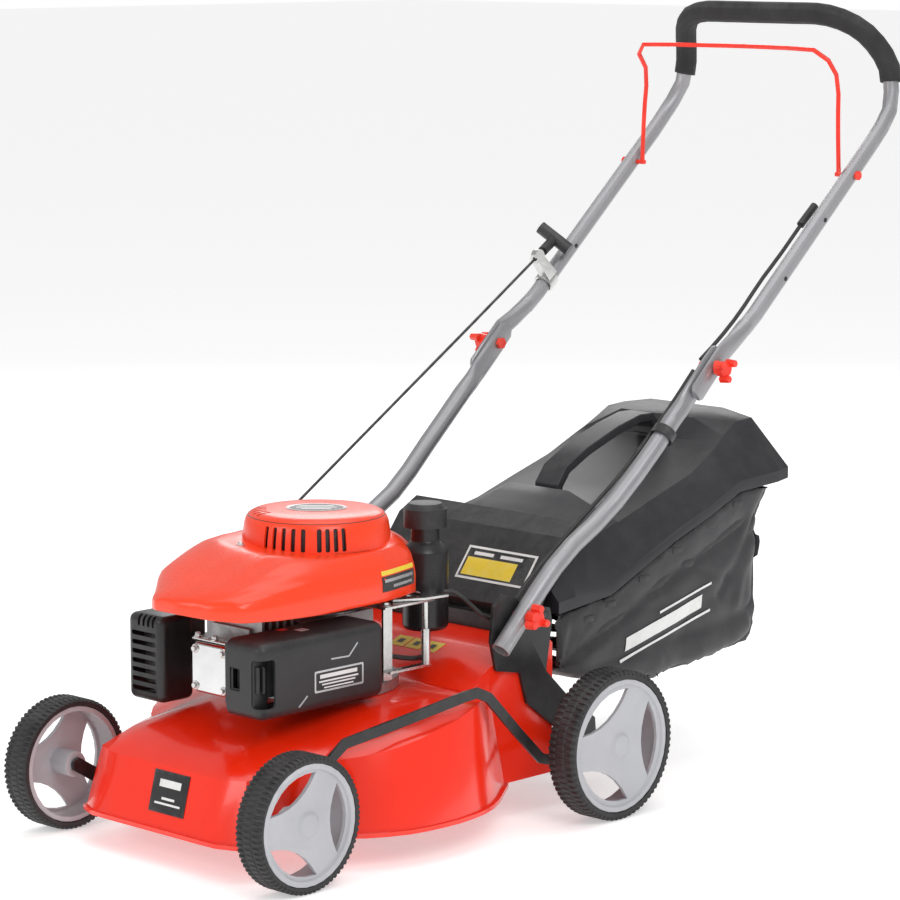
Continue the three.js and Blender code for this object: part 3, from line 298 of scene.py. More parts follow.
def makeClothWeave():
    # plain weave from two crossed sets of threads, with slubs and a soft crush
    tree, given, result = newGroup(
        "clothWeave",
        [("Threads", "Float", 900.0), ("Strength", "Float", 0.35), ("Crush", "Float", 0.3)],
        [("Normal", "Vector"), ("Thread", "Float"), ("Crush", "Float")],
    )
    place = addNode(tree, "ShaderNodeTexCoord").outputs["Object"]
    axes = addNode(tree, "ShaderNodeSeparateXYZ", {0: place}).outputs
    across = maths(tree, "MULTIPLY", maths(tree, "ADD", axes["X"], axes["Y"]), given["Threads"])
    sideways = maths(tree, "MULTIPLY", maths(tree, "SUBTRACT", axes["X"], axes["Y"]), 0.35)
    along = maths(tree, "MULTIPLY", maths(tree, "ADD", axes["Z"], sideways), given["Threads"])
    warp = maths(tree, "SINE", across)
    weft = maths(tree, "SINE", along)
    thread = maths(tree, "MULTIPLY", warp, weft)
    slub = noiseAt(tree, place, 140.0, 4.0, 0.7)
    thread = ramp(tree, thread, -1.0, 1.0)
    crush = ramp(tree, noiseAt(tree, place, 22.0, 5.0, 0.6), 0.3, 0.75)
    height = maths(tree, "ADD", maths(tree, "MULTIPLY", thread, 0.5), maths(tree, "MULTIPLY", slub, 0.5))
    height = maths(tree, "ADD", height, maths(tree, "MULTIPLY", crush, given["Crush"]))
    feeds = {"Height": height, "Strength": given["Strength"], "Distance": 0.0006}
    bump = addNode(tree, "ShaderNodeBump", feeds)
    feed(tree, result, {"Normal": bump.outputs["Normal"], "Thread": thread, "Crush": crush})
    return tree


groups = {
    "tint": makeUnevenTint(),
    "wear": makeEdgeWear(),
    "dust": makeDustFilm(),
    "grain": makeFineGrain(),
    "weave": makeClothWeave(),
}


# materials
finishes = {}
paintSet = {
    # tint is the size and amount of the patches, wear the bare colour and its amount,
    # grain its size and strength; metal and coat are left out where there is none
    "redEnamel": dict(color=(0.95, 0.022, 0.002), rough=0.2, coat=0.35, tint=(9, 0.04),
                      wear=((0.95, 0.12, 0.05), 0.25), dust=0.012, grain=(420, 0.05)),
    "redMoulding": dict(color=(0.95, 0.05, 0.006), rough=0.3, coat=0.15, tint=(14, 0.05),
                        wear=((0.97, 0.2, 0.1), 0.3), dust=0.015, grain=(700, 0.08)),
    "redKnob": dict(color=(0.9, 0.03, 0.012), rough=0.34, tint=(60, 0.06), wear=((0.95, 0.3, 0.2), 0.4),
                    dust=0.03, grain=(1400, 0.15)),
    "blackPaint": dict(color=(0.012, 0.012, 0.013), rough=0.32, tint=(30, 0.15),
                       wear=((0.12, 0.12, 0.13), 0.4), dust=0.08, grain=(1100, 0.12)),
    "blackMoulding": dict(color=(0.017, 0.017, 0.019), rough=0.42, tint=(22, 0.15),
                          wear=((0.1, 0.1, 0.105), 0.3), dust=0.08, grain=(1500, 0.3)),
    "lidMoulding": dict(color=(0.017, 0.0165, 0.02), rough=0.42, tint=(10, 0.12),
                        wear=((0.09, 0.09, 0.095), 0.3), dust=0.05, grain=(1300, 0.35)),
    "tankBlack": dict(color=(0.014, 0.014, 0.016), rough=0.3, tint=(26, 0.12),
                      wear=((0.08, 0.08, 0.085), 0.3), dust=0.05, grain=(900, 0.1)),
    "hoseBlack": dict(color=(0.016, 0.016, 0.016), rough=0.5, tint=(50, 0.2), wear=((0.06, 0.06, 0.06), 0.2),
                      dust=0.1, grain=(1200, 0.2)),
    "hubGrey": dict(color=(0.46, 0.465, 0.49), rough=0.42, tint=(18, 0.06), wear=((0.7, 0.7, 0.72), 0.35),
                    dust=0.08, grain=(1100, 0.2)),
    "tyreRubber": dict(color=(0.016, 0.016, 0.018), rough=0.56, tint=(40, 0.2),
                       wear=((0.07, 0.07, 0.07), 0.5), dust=0.14, grain=(1000, 0.35)),
    "silverCoat": dict(color=(0.34, 0.34, 0.355), rough=0.36, metal=0.55, tint=(12, 0.05),
                       wear=((0.8, 0.8, 0.8), 0.4), dust=0.04, grain=(1600, 0.12)),
    "zincSteel": dict(color=(0.62, 0.62, 0.61), rough=0.24, metal=1.0, tint=(34, 0.12),
                      wear=((0.85, 0.85, 0.85), 0.4), dust=0.05, grain=(700, 0.12)),
    "chromeCover": dict(color=(0.66, 0.66, 0.66), rough=0.16, metal=1.0, tint=(26, 0.08),
                        wear=((0.9, 0.9, 0.9), 0.4), dust=0.04, grain=(500, 0.06)),
    "castAlloy": dict(color=(0.36, 0.365, 0.37), rough=0.44, metal=0.85, tint=(30, 0.2),
                      wear=((0.7, 0.7, 0.7), 0.5), dust=0.15, grain=(520, 0.6)),
    "hotSteel": dict(color=(0.11, 0.1, 0.098), rough=0.45, metal=0.9, tint=(24, 0.35),
                     wear=((0.3, 0.28, 0.26), 0.4), dust=0.1, grain=(600, 0.4)),
    "bladeGrey": dict(color=(0.07, 0.073, 0.078), rough=0.35, metal=0.4, tint=(20, 0.15),
                      wear=((0.6, 0.6, 0.6), 0.8), dust=0.1, grain=(600, 0.3)),
    "gripFoam": dict(color=(0.018, 0.018, 0.02), rough=0.78, tint=(30, 0.15), wear=((0.05, 0.05, 0.05), 0.2),
                     dust=0.12, grain=(1500, 0.8)),
    "filterFoam": dict(color=(0.1, 0.105, 0.11), rough=0.9, tint=(40, 0.3), wear=((0.2, 0.2, 0.2), 0.2),
                       dust=0.2, grain=(900, 1.0)),
    "ropeBlack": dict(color=(0.04, 0.04, 0.043), rough=0.75, tint=(60, 0.3), wear=((0.2, 0.2, 0.2), 0.5),
                      dust=0.1, grain=(2200, 0.9)),
    "labelWhite": dict(color=(0.8, 0.8, 0.79), rough=0.35, tint=(40, 0.04), wear=((0.5, 0.5, 0.5), 0.3),
                       dust=0.08, grain=(700, 0.04)),
    "labelYellow": dict(color=(0.86, 0.62, 0.03), rough=0.35, tint=(40, 0.06), wear=((0.9, 0.8, 0.4), 0.3),
                        dust=0.08, grain=(700, 0.04)),
    "labelBlack": dict(color=(0.014, 0.014, 0.016), rough=0.3, tint=(40, 0.2), wear=((0.2, 0.2, 0.2), 0.3),
                       dust=0.1, grain=(700, 0.04)),
    "labelSilver": dict(color=(0.5, 0.5, 0.51), rough=0.28, metal=0.8, tint=(40, 0.06),
                        wear=((0.7, 0.7, 0.7), 0.3), dust=0.08, grain=(700, 0.06)),
}


def placeGroup(tree, key, feeds):
    node = tree.nodes.new("ShaderNodeGroup")
    node.node_tree = groups[key]
    feed(tree, node, feeds)
    return node


def startMaterial(name):
    finish = bpy.data.materials.new(name)
    finish.use_nodes = True
    finishes[name] = finish
    return finish.node_tree, finish.node_tree.nodes["Principled BSDF"].inputs


def makePaint(name, color, rough, tint, wear, dust, grain, metal=0.0, coat=0.0):
    tree, shader = startMaterial(name)
    tinted = placeGroup(tree, "tint", {"Color": (*color, 1), "Scale": tint[0], "Amount": tint[1]})
    feeds = {"Color": tinted.outputs["Color"], "Worn Color": (*wear[0], 1), "Amount": wear[1]}
    worn = placeGroup(tree, "wear", feeds)
    dusty = placeGroup(tree, "dust", {"Color": worn.outputs["Color"], "Amount": dust})
    grained = placeGroup(tree, "grain", {"Scale": grain[0], "Strength": grain[1]})
    spread = ramp(tree, grained.outputs["Grain"], 0.3, 0.7, rough - 0.04, rough + 0.05)
    tree.links.new(spread, dusty.inputs["Roughness"])
    tree.links.new(dusty.outputs["Color"], shader["Base Color"])
    tree.links.new(dusty.outputs["Roughness"], shader["Roughness"])
    tree.links.new(grained.outputs["Normal"], shader["Normal"])
    shader["Metallic"].default_value = metal
    shader["Coat Weight"].default_value = coat
    shader["Coat Roughness"].default_value = 0.06


def makeBagCloth():
    tree, shader = startMaterial("bagCloth")
    woven = placeGroup(tree, "weave", {"Threads": 2400.0, "Strength": 0.5, "Crush": 0.35})
    tinted = placeGroup(tree, "tint", {"Color": (0.016, 0.016, 0.019, 1), "Scale": 9.0, "Amount": 0.2})
    lit = blendColor(tree, maths(tree, "MULTIPLY", woven.outputs["Thread"], 0.5), tinted.outputs["Color"],
                     (0.034, 0.034, 0.038, 1))
    dusty = placeGroup(tree, "dust", {"Color": lit, "Amount": 0.1, "Scale": 16.0})
    spread = ramp(tree, woven.outputs["Crush"], 0.0, 1.0, 0.42, 0.6)
    tree.links.new(spread, dusty.inputs["Roughness"])
    tree.links.new(dusty.outputs["Color"], shader["Base Color"])
    tree.links.new(dusty.outputs["Roughness"], shader["Roughness"])
    tree.links.new(woven.outputs["Normal"], shader["Normal"])
    shader["Sheen Weight"].default_value = 0.25
    shader["Sheen Roughness"].default_value = 0.4


for paintName, paintValues in paintSet.items():
    makePaint(paintName, **paintValues)
makeBagCloth()
print("materials ready:", len(finishes))


# shape helpers
def newPiece(name, mesh, body, finish, replaces=()):
    piece = bpy.data.objects.new(name, mesh)
    scene.collection.objects.link(piece)
    mesh.materials.clear()
    for each in finish if isinstance(finish, (list, tuple)) else [finish]:
        mesh.materials.append(finishes[each])
    if replaces:
        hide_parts(*replaces)
    if body:
        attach(piece, body)
    return piece


def smoothMesh(mesh, angle=35):
    mesh.polygons.foreach_set("use_smooth", [True] * len(mesh.polygons))
    mesh.set_sharp_from_angle(angle=math.radians(angle))


def meshFrom(name, points, faces, angle=35):
    mesh = bpy.data.meshes.new(name)
    mesh.from_pydata([tuple(p) for p in points], [], faces)
    mesh.update()
    smoothMesh(mesh, angle)
    return mesh


def meshOf(work, name):
    # a new mesh from a bmesh that has done its work
    mesh = bpy.data.meshes.new(name)
    work.to_mesh(mesh)
    work.free()
    return mesh


def baked(piece):
    # the piece's mesh with its modifiers taken in
    bpy.context.view_layer.update()
    graph = bpy.context.evaluated_depsgraph_get()
    mesh = bpy.data.meshes.new_from_object(piece.evaluated_get(graph))
    piece.modifiers.clear()
    piece.data = mesh
    return piece


def cleanCopy(node):
    mesh = frame["nodes"][node].data.copy()
    work = bmesh.new()
    work.from_mesh(mesh)
    bmesh.ops.remove_doubles(work, verts=work.verts, dist=0.00002)
    bmesh.ops.dissolve_limit(work, angle_limit=math.radians(0.6), verts=work.verts, edges=work.edges)
    work.to_mesh(mesh)
    work.free()
    return mesh


def rollEdges(piece, width, angle, segments):
    # a bevel of width mm on the edges that turn by more than angle degrees
    roll = piece.modifiers.new("rolledEdges", "BEVEL")
    roll.limit_method = "ANGLE"
    roll.angle_limit = math.radians(angle)
    roll.width = width / 1000
    roll.segments = segments
    return roll


def refine(node, finish, bevel):
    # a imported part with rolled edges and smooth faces, standing in its own place
    mesh = cleanCopy(node)
    smoothMesh(mesh, 38)
    piece = newPiece(node + "_fine", mesh, None, finish, [node])
    if bevel:
        roll = rollEdges(piece, bevel, 32, 2)
        roll.use_clamp_overlap = True
        roll.harden_normals = True
        roll.miter_outer = "MITER_ARC"
    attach(piece, frame["nodes"][node]["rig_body"])
    return piece


def gridFaces(rows, columns, closeRows=False, closeColumns=False):
    faces = []
    for i in range(rows if closeRows else rows - 1):
        for j in range(columns if closeColumns else columns - 1):
            nextI, nextJ = (i + 1) % rows, (j + 1) % columns
            faces.append((i * columns + j, i * columns + nextJ, nextI * columns + nextJ, nextI * columns + j))
    return faces


def tubeFaces(rows, sides):
    # rings joined into a tube, with both ends closed
    ends = [tuple(range(sides))[::-1], tuple((rows - 1) * sides + k for k in range(sides))]
    return gridFaces(rows, sides, False, True) + ends


def ringAt(centre, side, up, size, sides):
    # points round a centre, in the plane of side and up
    turns = [math.tau * k / sides for k in range(sides)]
    return [at(*(centre + side * math.cos(a) * size + up * math.sin(a) * size)) for a in turns]


def ringPoint(axis, centre, radius, angle, along):
    # a point on a circle round an axis through centre; along is its place on that axis
    c, s = math.cos(angle) * radius, math.sin(angle) * radius
    if axis == "x":
        return at(along, centre[1] + c, centre[2] + s)
    if axis == "y":
        return at(centre[0] + c, along, centre[2] - s)
    return at(centre[0] + c, centre[1] + s, along)


def turned(name, axis, centre, profile, segments=48, angle=35, closed=False):
    # profile is a list of (place along the axis, radius)
    points = []
    for along, radius in profile:
        for k in range(segments):
            points.append(ringPoint(axis, centre, radius, math.tau * k / segments, along))
    rows = len(profile)
    faces = gridFaces(rows, segments, True, True) if closed else tubeFaces(rows, segments)
    return faceOut(meshFrom(name, points, faces, angle))


def faceOut(mesh):
    work = bmesh.new()
    work.from_mesh(mesh)
    bmesh.ops.recalc_face_normals(work, faces=work.faces)
    work.to_mesh(mesh)
    work.free()
    return mesh


def smoothPath(points, step=4.0):
    # a curve through given points, cut to even steps
    path = [Vector(p) for p in points]
    out = []
    for i in range(len(path) - 1):
        before = path[i - 1] if i else path[i] * 2 - path[i + 1]
        after = path[i + 2] if i + 2 < len(path) else path[i + 1] * 2 - path[i]
        count = max(2, int((path[i + 1] - path[i]).length / step))
        for k in range(count):
            t = k / count
            a, b, c, d = before, path[i], path[i + 1], after
            square, cube = 2 * a - 5 * b + 4 * c - d, 3 * b - a - 3 * c + d
            out.append(0.5 * ((2 * b) + (c - a) * t + square * t * t + cube * t**3))
    out.append(path[-1])
    return out


def swept(name, path, radius, sides=14, angle=40, ripple=None):
    # a round section carried along a path; ripple(turn, length) scales the radius
    points, length = [], 0.0
    side = None
    for i, centre in enumerate(path):
        ahead = (path[min(i + 1, len(path) - 1)] - path[max(i - 1, 0)]).normalized()
        if side is None:
            side = ahead.orthogonal().normalized()
        side = (side - ahead * side.dot(ahead)).normalized()
        up = ahead.cross(side)
        if i:
            length += (centre - path[i - 1]).length
        for k in range(sides):
            turn = math.tau * k / sides
            size = radius * (ripple(turn, length) if ripple else 1.0)
            points.append(at(*(centre + side * math.cos(turn) * size + up * math.sin(turn) * size)))
    return faceOut(meshFrom(name, points, tubeFaces(len(path), sides), angle))


def rollAll(work, edges, width, segments, clamp=True):
    bmesh.ops.bevel(work, geom=list(edges), offset=width / 1000, segments=segments, profile=0.5,
                    affect="EDGES", clamp_overlap=clamp)


def plate(name, corners, thickness, roll=0.3):
    # a thin sheet from corners going round, thickened along its own normal
    normal = (corners[1] - corners[0]).cross(corners[2] - corners[1]).normalized()
    low = [at(*c) for c in corners]
    high = [at(*(c + normal * thickness)) for c in corners]
    count = len(corners)
    faces = [tuple(range(count))[::-1], tuple(range(count, 2 * count))]
    faces += [(k, (k + 1) % count, count + (k + 1) % count, count + k) for k in range(count)]
    work = bmesh.new()
    mesh = meshFrom(name, low + high, faces)
    work.from_mesh(mesh)
    bmesh.ops.recalc_face_normals(work, faces=work.faces)
    rollAll(work, work.edges, roll, 2)
    work.to_mesh(mesh)
    work.free()
    smoothMesh(mesh)
    return mesh


def roundedRect(centre, across, up, halfWide, halfHigh, radius, steps=5):
    # corner points of a rounded rectangle in the plane of across and up
    out = []
    for cornerX, cornerY, start in ((1, 1, 0), (-1, 1, 90), (-1, -1, 180), (1, -1, 270)):
        for k in range(steps + 1):
            a = math.radians(start + 90 * k / steps)
            x = cornerX * (halfWide - radius) + radius * math.cos(a)
            y = cornerY * (halfHigh - radius) + radius * math.sin(a)
            out.append(centre + across * x + up * y)
    return out


def joined(name, meshes, angle=35):
    work = bmesh.new()
    for mesh in meshes:
        work.from_mesh(mesh)
    mesh = meshOf(work, name)
    smoothMesh(mesh, angle)
    return mesh


def cubeBetween(low, high):
    work = bmesh.new()
    bmesh.ops.create_cube(work, size=1)
    size = Vector(high) - Vector(low)
    middle = (Vector(high) + Vector(low)) / 2
    for vert in work.verts:
        vert.co = at(*(middle + Vector((vert.co.x * size.x, vert.co.y * size.y, vert.co.z * size.z))))
    return work


def block(name, low, high, roll=1.0, segments=3):
    # a block with rolled edges
    work = cubeBetween(low, high)
    rollAll(work, work.edges, roll, segments)
    mesh = meshOf(work, name)
    smoothMesh(mesh)
    return mesh


def boltHead(name, centre, direction, radius=5.5, height=3.5, washer=8.0, dome=False):
    # a hexagon or domed screw head, on a washer unless washer is 0
    direction = Vector(direction).normalized()
    side = direction.orthogonal().normalized()
    up = direction.cross(side)
    centre = Vector(centre)

    def ringSet(levels, sides):
        points = []
        for level, size in levels:
            points += ringAt(centre + direction * level, side, up, size, sides)
        return faceOut(meshFrom(name, points, tubeFaces(len(levels), sides)))

    meshes = []
    if washer:
        meshes.append(ringSet([(0, washer), (0.9, washer), (1.2, washer - 0.4)], 32))
    base = 1.2 if washer else 0
    if dome:
        levels = [(base, radius), (base + height * 0.35, radius)]
        for tilt in (25, 50, 72, 84):
            a = math.radians(tilt)
            levels.append((base + height * (0.35 + 0.65 * math.sin(a)), radius * math.cos(a)))
        meshes.append(ringSet(levels, 20))
    else:
        levels = [(base, radius), (base + height - 0.5, radius), (base + height, radius * 0.88)]
        meshes.append(ringSet(levels, 6))
    return joined(name, meshes)


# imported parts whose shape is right: rolled edges and a finish
refineSet = {
    # node: finish, material slot, edge roll in mm
    "rear_bracket_left": ("blackPaint", "black_steel", 0.6),
    "rear_bracket_right": ("blackPaint", "black_steel", 0.6),
    "height_quadrant": ("blackPaint", "black_steel", 0.4),
    "flap_hinge_bar": ("blackPaint", "black_steel", 0.8),
    "crankcase": ("castAlloy", "cast_alloy", 1.2),
    "cylinder_head": ("castAlloy", "cast_alloy", 0.4),
    "rocker_cover": ("chromeCover", "bright_steel", 1.6),
    "muffler": ("hotSteel", "muffler_steel", 2.0),
    "carburettor": ("castAlloy", "cast_alloy", 0.8),
    "air_filter_base": ("blackMoulding", "black_plastic", 1.0),
    "air_filter_element": ("filterFoam", "filter_foam", 1.0),
    "fuel_tank": ("tankBlack", "tank_plastic", 1.6),
    "fuel_hose": ("hoseBlack", "hose_rubber", 0),
    "engine_shroud": ("redMoulding", "red_plastic", 1.2),
    "control_bracket": ("zincSteel", "bright_steel", 0.5),
    "brake_cable_engine": ("hoseBlack", "hose_rubber", 0),
    "deck_shell": ("redEnamel", "red_paint", 1.0),
    "front_crank_axle": ("blackPaint", "black_steel", 0.5),
    "rear_crank_axle": ("blackPaint", "black_steel", 0.5),
    "height_lever": ("blackPaint", "black_steel", 0.6),
    "height_link_bar": ("blackPaint", "black_steel", 0.6),
    "wheel_hub_front_left": ("hubGrey", "hub_plastic", 0.8),
    "wheel_hub_front_right": ("hubGrey", "hub_plastic", 0.8),
    "wheel_hub_rear_left": ("hubGrey", "hub_plastic", 0.8),
    "wheel_hub_rear_right": ("hubGrey", "hub_plastic", 0.8),
    "lower_tube_left": ("silverCoat", "tube_steel", 0.5),
    "lower_tube_right": ("silverCoat", "tube_steel", 0.5),
    "lower_knob_left": ("redKnob", "red_plastic", 1.4),
    "lower_knob_right": ("redKnob", "red_plastic", 1.4),
    "middle_knob_left": ("redKnob", "red_plastic", 1.4),
    "middle_knob_right": ("redKnob", "red_plastic", 1.4),
    "upper_handle": ("silverCoat", "tube_steel", 0.5),
    "grip_foam": ("gripFoam", "foam", 2.0),
    "rope_guide": ("zincSteel", "bright_steel", 0.3),
    "brake_cable_lower": ("hoseBlack", "hose_rubber", 0),
    "brake_cable_upper": ("hoseBlack", "hose_rubber", 0),
    "bail": ("redKnob", "red_paint", 0.3),
    "brake_lever": ("zincSteel", "bright_steel", 0.4),
    "starter_grip": ("blackMoulding", "black_plastic", 1.2),
    "recoil_pulley": ("blackMoulding", "black_plastic", 0.6),
    "crankshaft": ("zincSteel", "bright_steel", 0.6),
    "flywheel": ("castAlloy", "cast_alloy", 0.8),
    "blade": ("bladeGrey", "blade_steel", 0.5),
    "blade_bolt": ("zincSteel", "bright_steel", 0.6),
    "rear_flap": ("blackMoulding", "black_plastic", 1.0),
    "catcher_lid": ("lidMoulding", "black_plastic", 1.4),
    "catcher_handle": ("lidMoulding", "black_plastic", 1.6),
    "catcher_frame": ("blackPaint", "black_steel", 0),
    "fuel_cap": ("blackMoulding", "black_plastic", 0.8),
}
fine = {}
for nodeName, (finishName, slotName, rollWidth) in refineSet.items():
    fine[nodeName] = refine(nodeName, finishName, rollWidth)
print("packed parts refined:", len(fine))


# tyres
tyreSet = {"segments": 432, "lugs": 72, "groove": 2.0, "rib": 1.1, "shoulder": 4.0}


def makeTyre(node, body):
    low, high = nodeBox(node)
    centre = (low + high) / 2
    outer = (high.z - low.z) / 2
    half = (high.x - low.x) / 2
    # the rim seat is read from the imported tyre's own inner radius
    inner = min(
        math.hypot(v.co.y * 1000 - axleY - centre.y, v.co.z * 1000 - centre.z)
        for v in frame["nodes"][node].data.vertices
    )
    count = tyreSet["segments"]
    perLug = count // tyreSet["lugs"]
    shoulder = tyreSet["shoulder"]
    # across the section: inner wall, side wall, shoulder, tread, and back
    stops = [-1.0, -0.985, -0.95, -0.9, -0.84, -0.7, -0.5, -0.4, -0.3, -0.24, -0.12, 0.0]
    stops += [-s for s in stops[-2::-1]]
    bulge = inner + (outer - inner) * 0.42
    wall = [(half, outer - shoulder), (half, bulge), (half - 0.1, inner + 0.7), (half - 0.6, inner)]
    points = []
    for k in range(count):
        a = math.tau * k / count
        lug = k % perLug
        row = [(-x, r) for x, r in wall[::-1]]
        for s in stops:
            x = s * half
            edge = max(0.0, abs(s) - 0.84) / 0.16
            r = outer - shoulder * 0.62 * edge**1.8
            onLug = lug < perLug * 0.5
            cut = 0.0
            if abs(s) > 0.42 and not onLug:
                cut = tyreSet["groove"]
            elif abs(s) <= 0.27:
                shifted = (k + perLug // 2) % perLug
                cut = 0.0 if shifted < perLug * 0.66 else tyreSet["rib"]
            if 0.27 < abs(s) <= 0.42:
                cut = tyreSet["rib"] * 1.1
            row.append((x, r - cut))
        for x, r in row + wall:
            points.append(at(centre.x + x, centre.y + math.cos(a) * r, centre.z + math.sin(a) * r))
    columns = len(points) // count
    mesh = faceOut(meshFrom(node, points, gridFaces(count, columns, True, True), 30))
    newPiece(node + "_tread", mesh, body, "tyreRubber", [node])


for corner in ("front_left", "front_right", "rear_left", "rear_right"):
    makeTyre("tyre_" + corner, "wheel_" + corner)
print("tyres made")


# starter rope: three lengths that meet at the guide ring
ropeSet = {
    "radius": 1.7,
    "exit": (-63, 239, 361),
    "knee": (-139, 621, 539),
    "eye": (-168, 767, 608),
    "run": (-0.177, 0.89, 0.42),
    "share": 0.955,  # how far the upper length goes from knee to eye
    "tail": (-6.5, 9),
}


def braid(turn, length):
    return 1.0 + 0.07 * math.sin(turn * 4 + length * 1.1) * math.sin(turn * 4 - length * 1.1)


def makeRope():
    leave = Vector(ropeSet["exit"])
    eye = Vector(ropeSet["eye"])
    knee = Vector(ropeSet["knee"])
    run = Vector(ropeSet["run"])
    steps = 130
    lower = [leave.lerp(knee, k / steps) for k in range(steps + 1)]
    mesh = swept("starter_rope_lower", lower, ropeSet["radius"], 10, 60, braid)
    piece = newPiece("starter_rope_lower_braid", mesh, None, "ropeBlack", ["starter_rope_lower"])
    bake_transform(piece)
    top = knee.lerp(eye, ropeSet["share"])
    upper = [knee.lerp(top, k / 50) for k in range(51)]
    mesh = swept("starter_rope_upper", upper, ropeSet["radius"], 10, 60, braid)
    piece = newPiece("starter_rope_upper_braid", mesh, None, "ropeBlack", ["starter_rope_upper"])
    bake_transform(piece)
    first, last = (eye + run * d for d in ropeSet["tail"])
    tail = [first.lerp(last, k / 10) for k in range(11)]
    mesh = swept("starter_rope_tail", tail, ropeSet["radius"], 10, 60, braid)
    newPiece("starter_rope_tail_braid", mesh, "starter_grip", "ropeBlack", ["starter_rope_tail"])


makeRope()
print("rope made")


# grass bag
bagSet = {"voxel": 0.005, "rounds": 9, "crease": 2.6}


def makeBag():
    node = "catcher_bag"
    mesh = cleanCopy(node)
    piece = newPiece("catcher_bag_cloth", mesh, None, "bagCloth", [node])
    body = piece.modifiers.new("evenMesh", "REMESH")
    body.mode = "VOXEL"
    body.voxel_size = bagSet["voxel"]
    soften = piece.modifiers.new("soften", "SMOOTH")
    soften.factor = 0.5
    soften.iterations = bagSet["rounds"]
    baked(piece)
    low, high = nodeBox(node)
    for vert in piece.data.vertices:
        x, y, z = inMm(vert.co)
        down = (high.z - z) / (high.z - low.z)
        fold = noise.noise(Vector((y * 0.02 + down * 1.6, z * 0.006, x * 0.01))) * bagSet["crease"]
        vert.co += vert.normal * (fold - 1.0) / 1000
    smoothMesh(piece.data, 80)
    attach(piece, "catcher")


makeBag()
print("bag made")


# cutting and laying on
def cutAway(piece, *cutters):
    # the cutters are meshes; each is taken out of the piece
    for mesh in cutters:
        tool = bpy.data.objects.new("cutter", mesh)
        scene.collection.objects.link(tool)
        step = piece.modifiers.new("cut", "BOOLEAN")
        step.operation = "DIFFERENCE"
        step.solver = "EXACT"
        step.object = tool
        baked(piece)
        bpy.data.objects.remove(tool)
    return piece


def treeOf(*pieces):
    graph = bpy.context.evaluated_depsgraph_get()
    return [BVHTree.FromObject(piece, graph) for piece in pieces]


def layOn(name, tree, corner, across, up, toward, thickness=0.35, columns=10, rows=6, lift=0.25):
    # a sheet laid on a surface: a grid seen along toward, dropped on the surface and thickened
    toward = Vector(toward).normalized()
    under, over = [], []
    for i in range(rows + 1):
        for j in range(columns + 1):
            start = Vector(corner) + Vector(across) * (j / columns) + Vector(up) * (i / rows)
            hit, normal = tree.ray_cast(at(*start), toward)[:2]
            if hit is None:
                hit, normal = tree.find_nearest(at(*start))[:2]
            if normal.dot(toward) > 0:
                normal = -normal
            under.append(hit + normal * lift / 1000)
            over.append(hit + normal * (lift + thickness) / 1000)
    width = columns + 1
    faces = gridFaces(rows + 1, width)
    offset = len(under)
    faces += [tuple(offset + k for k in face[::-1]) for face in faces[:]]
    edge = list(range(width))
    edge += [i * width + columns for i in range(1, rows + 1)]
    edge += [rows * width + j for j in range(columns - 1, -1, -1)]
    edge += [i * width for i in range(rows - 1, 0, -1)]
    for k, a in enumerate(edge):
        b = edge[(k + 1) % len(edge)]
        faces.append((a, b, offset + b, offset + a))
    mesh = bpy.data.meshes.new(name)
    mesh.from_pydata([tuple(p) for p in under + over], [], faces)
    mesh.update()
    smoothMesh(mesh, 40)
    return faceOut(mesh)


def layStrips(name, tree, corner, across, up, toward, strips, thickness=0.3, lift=0.6):
    # several small sheets in one: each strip is (left, bottom, right, top) as shares of the sheet
    meshes = []
    across, up = Vector(across), Vector(up)
    for left, bottom, right, top in strips:
        start = Vector(corner) + across * left + up * bottom
        meshes.append(layOn(name, tree, start, across * (right - left), up * (top - bottom), toward,
                            thickness, 6, 2, lift))
    return joined(name, meshes)


# engine cover: the shroud dips round the recoil cap on the side that faces the left front
capSet = {
    "centre": (3, 212),
    "facing": -46,  # degrees, the way the slotted side faces
    "dip": 331,
    "profile": [(322, 86.5), (327, 86.2), (345, 84.2), (355, 82.6), (361, 80.6), (365, 77), (367.5, 72),
                (368.6, 65), (369.4, 50), (369.8, 30), (370, 0.1)],
    "slots": [-40, -32, -24, -16, -8, 4.5, 11, 17.5, 24],
    "slotWidth": 5.2,
    "slotHeight": (333, 359),
    "topSlots": 5,
    "badgeTurn": 44,
    "badge": (35, 26),
    "bars": [(40, 9), (46, 0), (34, -9)],  # length, and place across the badge
}
upright = Vector((0, 0, 1))


def shapeShroud():
    piece = fine["engine_shroud"]
    piece.modifiers.clear()
    denser = piece.modifiers.new("denser", "SUBSURF")
    denser.subdivision_type = "SIMPLE"
    denser.levels = denser.render_levels = 2
    soften = piece.modifiers.new("soften", "SMOOTH")
    soften.factor, soften.iterations = 0.5, 3
    baked(piece)
    centreX, centreY = capSet["centre"]
    for vert in piece.data.vertices:
        x, y, z = vert.co.x * 1000 - centreX, vert.co.y * 1000 - axleY - centreY, vert.co.z * 1000
        away = math.hypot(x, y)
        if z < 300 or away > 150:
            continue
        turn = (math.degrees(math.atan2(y, x)) - capSet["facing"] + 180) % 360 - 180
        share = min(1, max(0, (turn + 150) / 40)) * min(1, max(0, (85 - turn) / 35))
        reach = min(1, max(0, (146 - away) / 56))
        reach = reach * reach * (3 - 2 * reach)
        level = capSet["dip"] + 8 * min(1, max(0, -turn / 90))
        if z > level:
            vert.co.z -= (z - level) * share * reach / 1000
    smoothMesh(piece.data, 50)


def slotCutter(middle, across, up, halfWide, halfHigh, corner, depth):
    # a rounded slot as a solid, depth mm thick along the way its corners face
    return plate("slot", roundedRect(middle, across, up, halfWide, halfHigh, corner, 4), depth, 0)


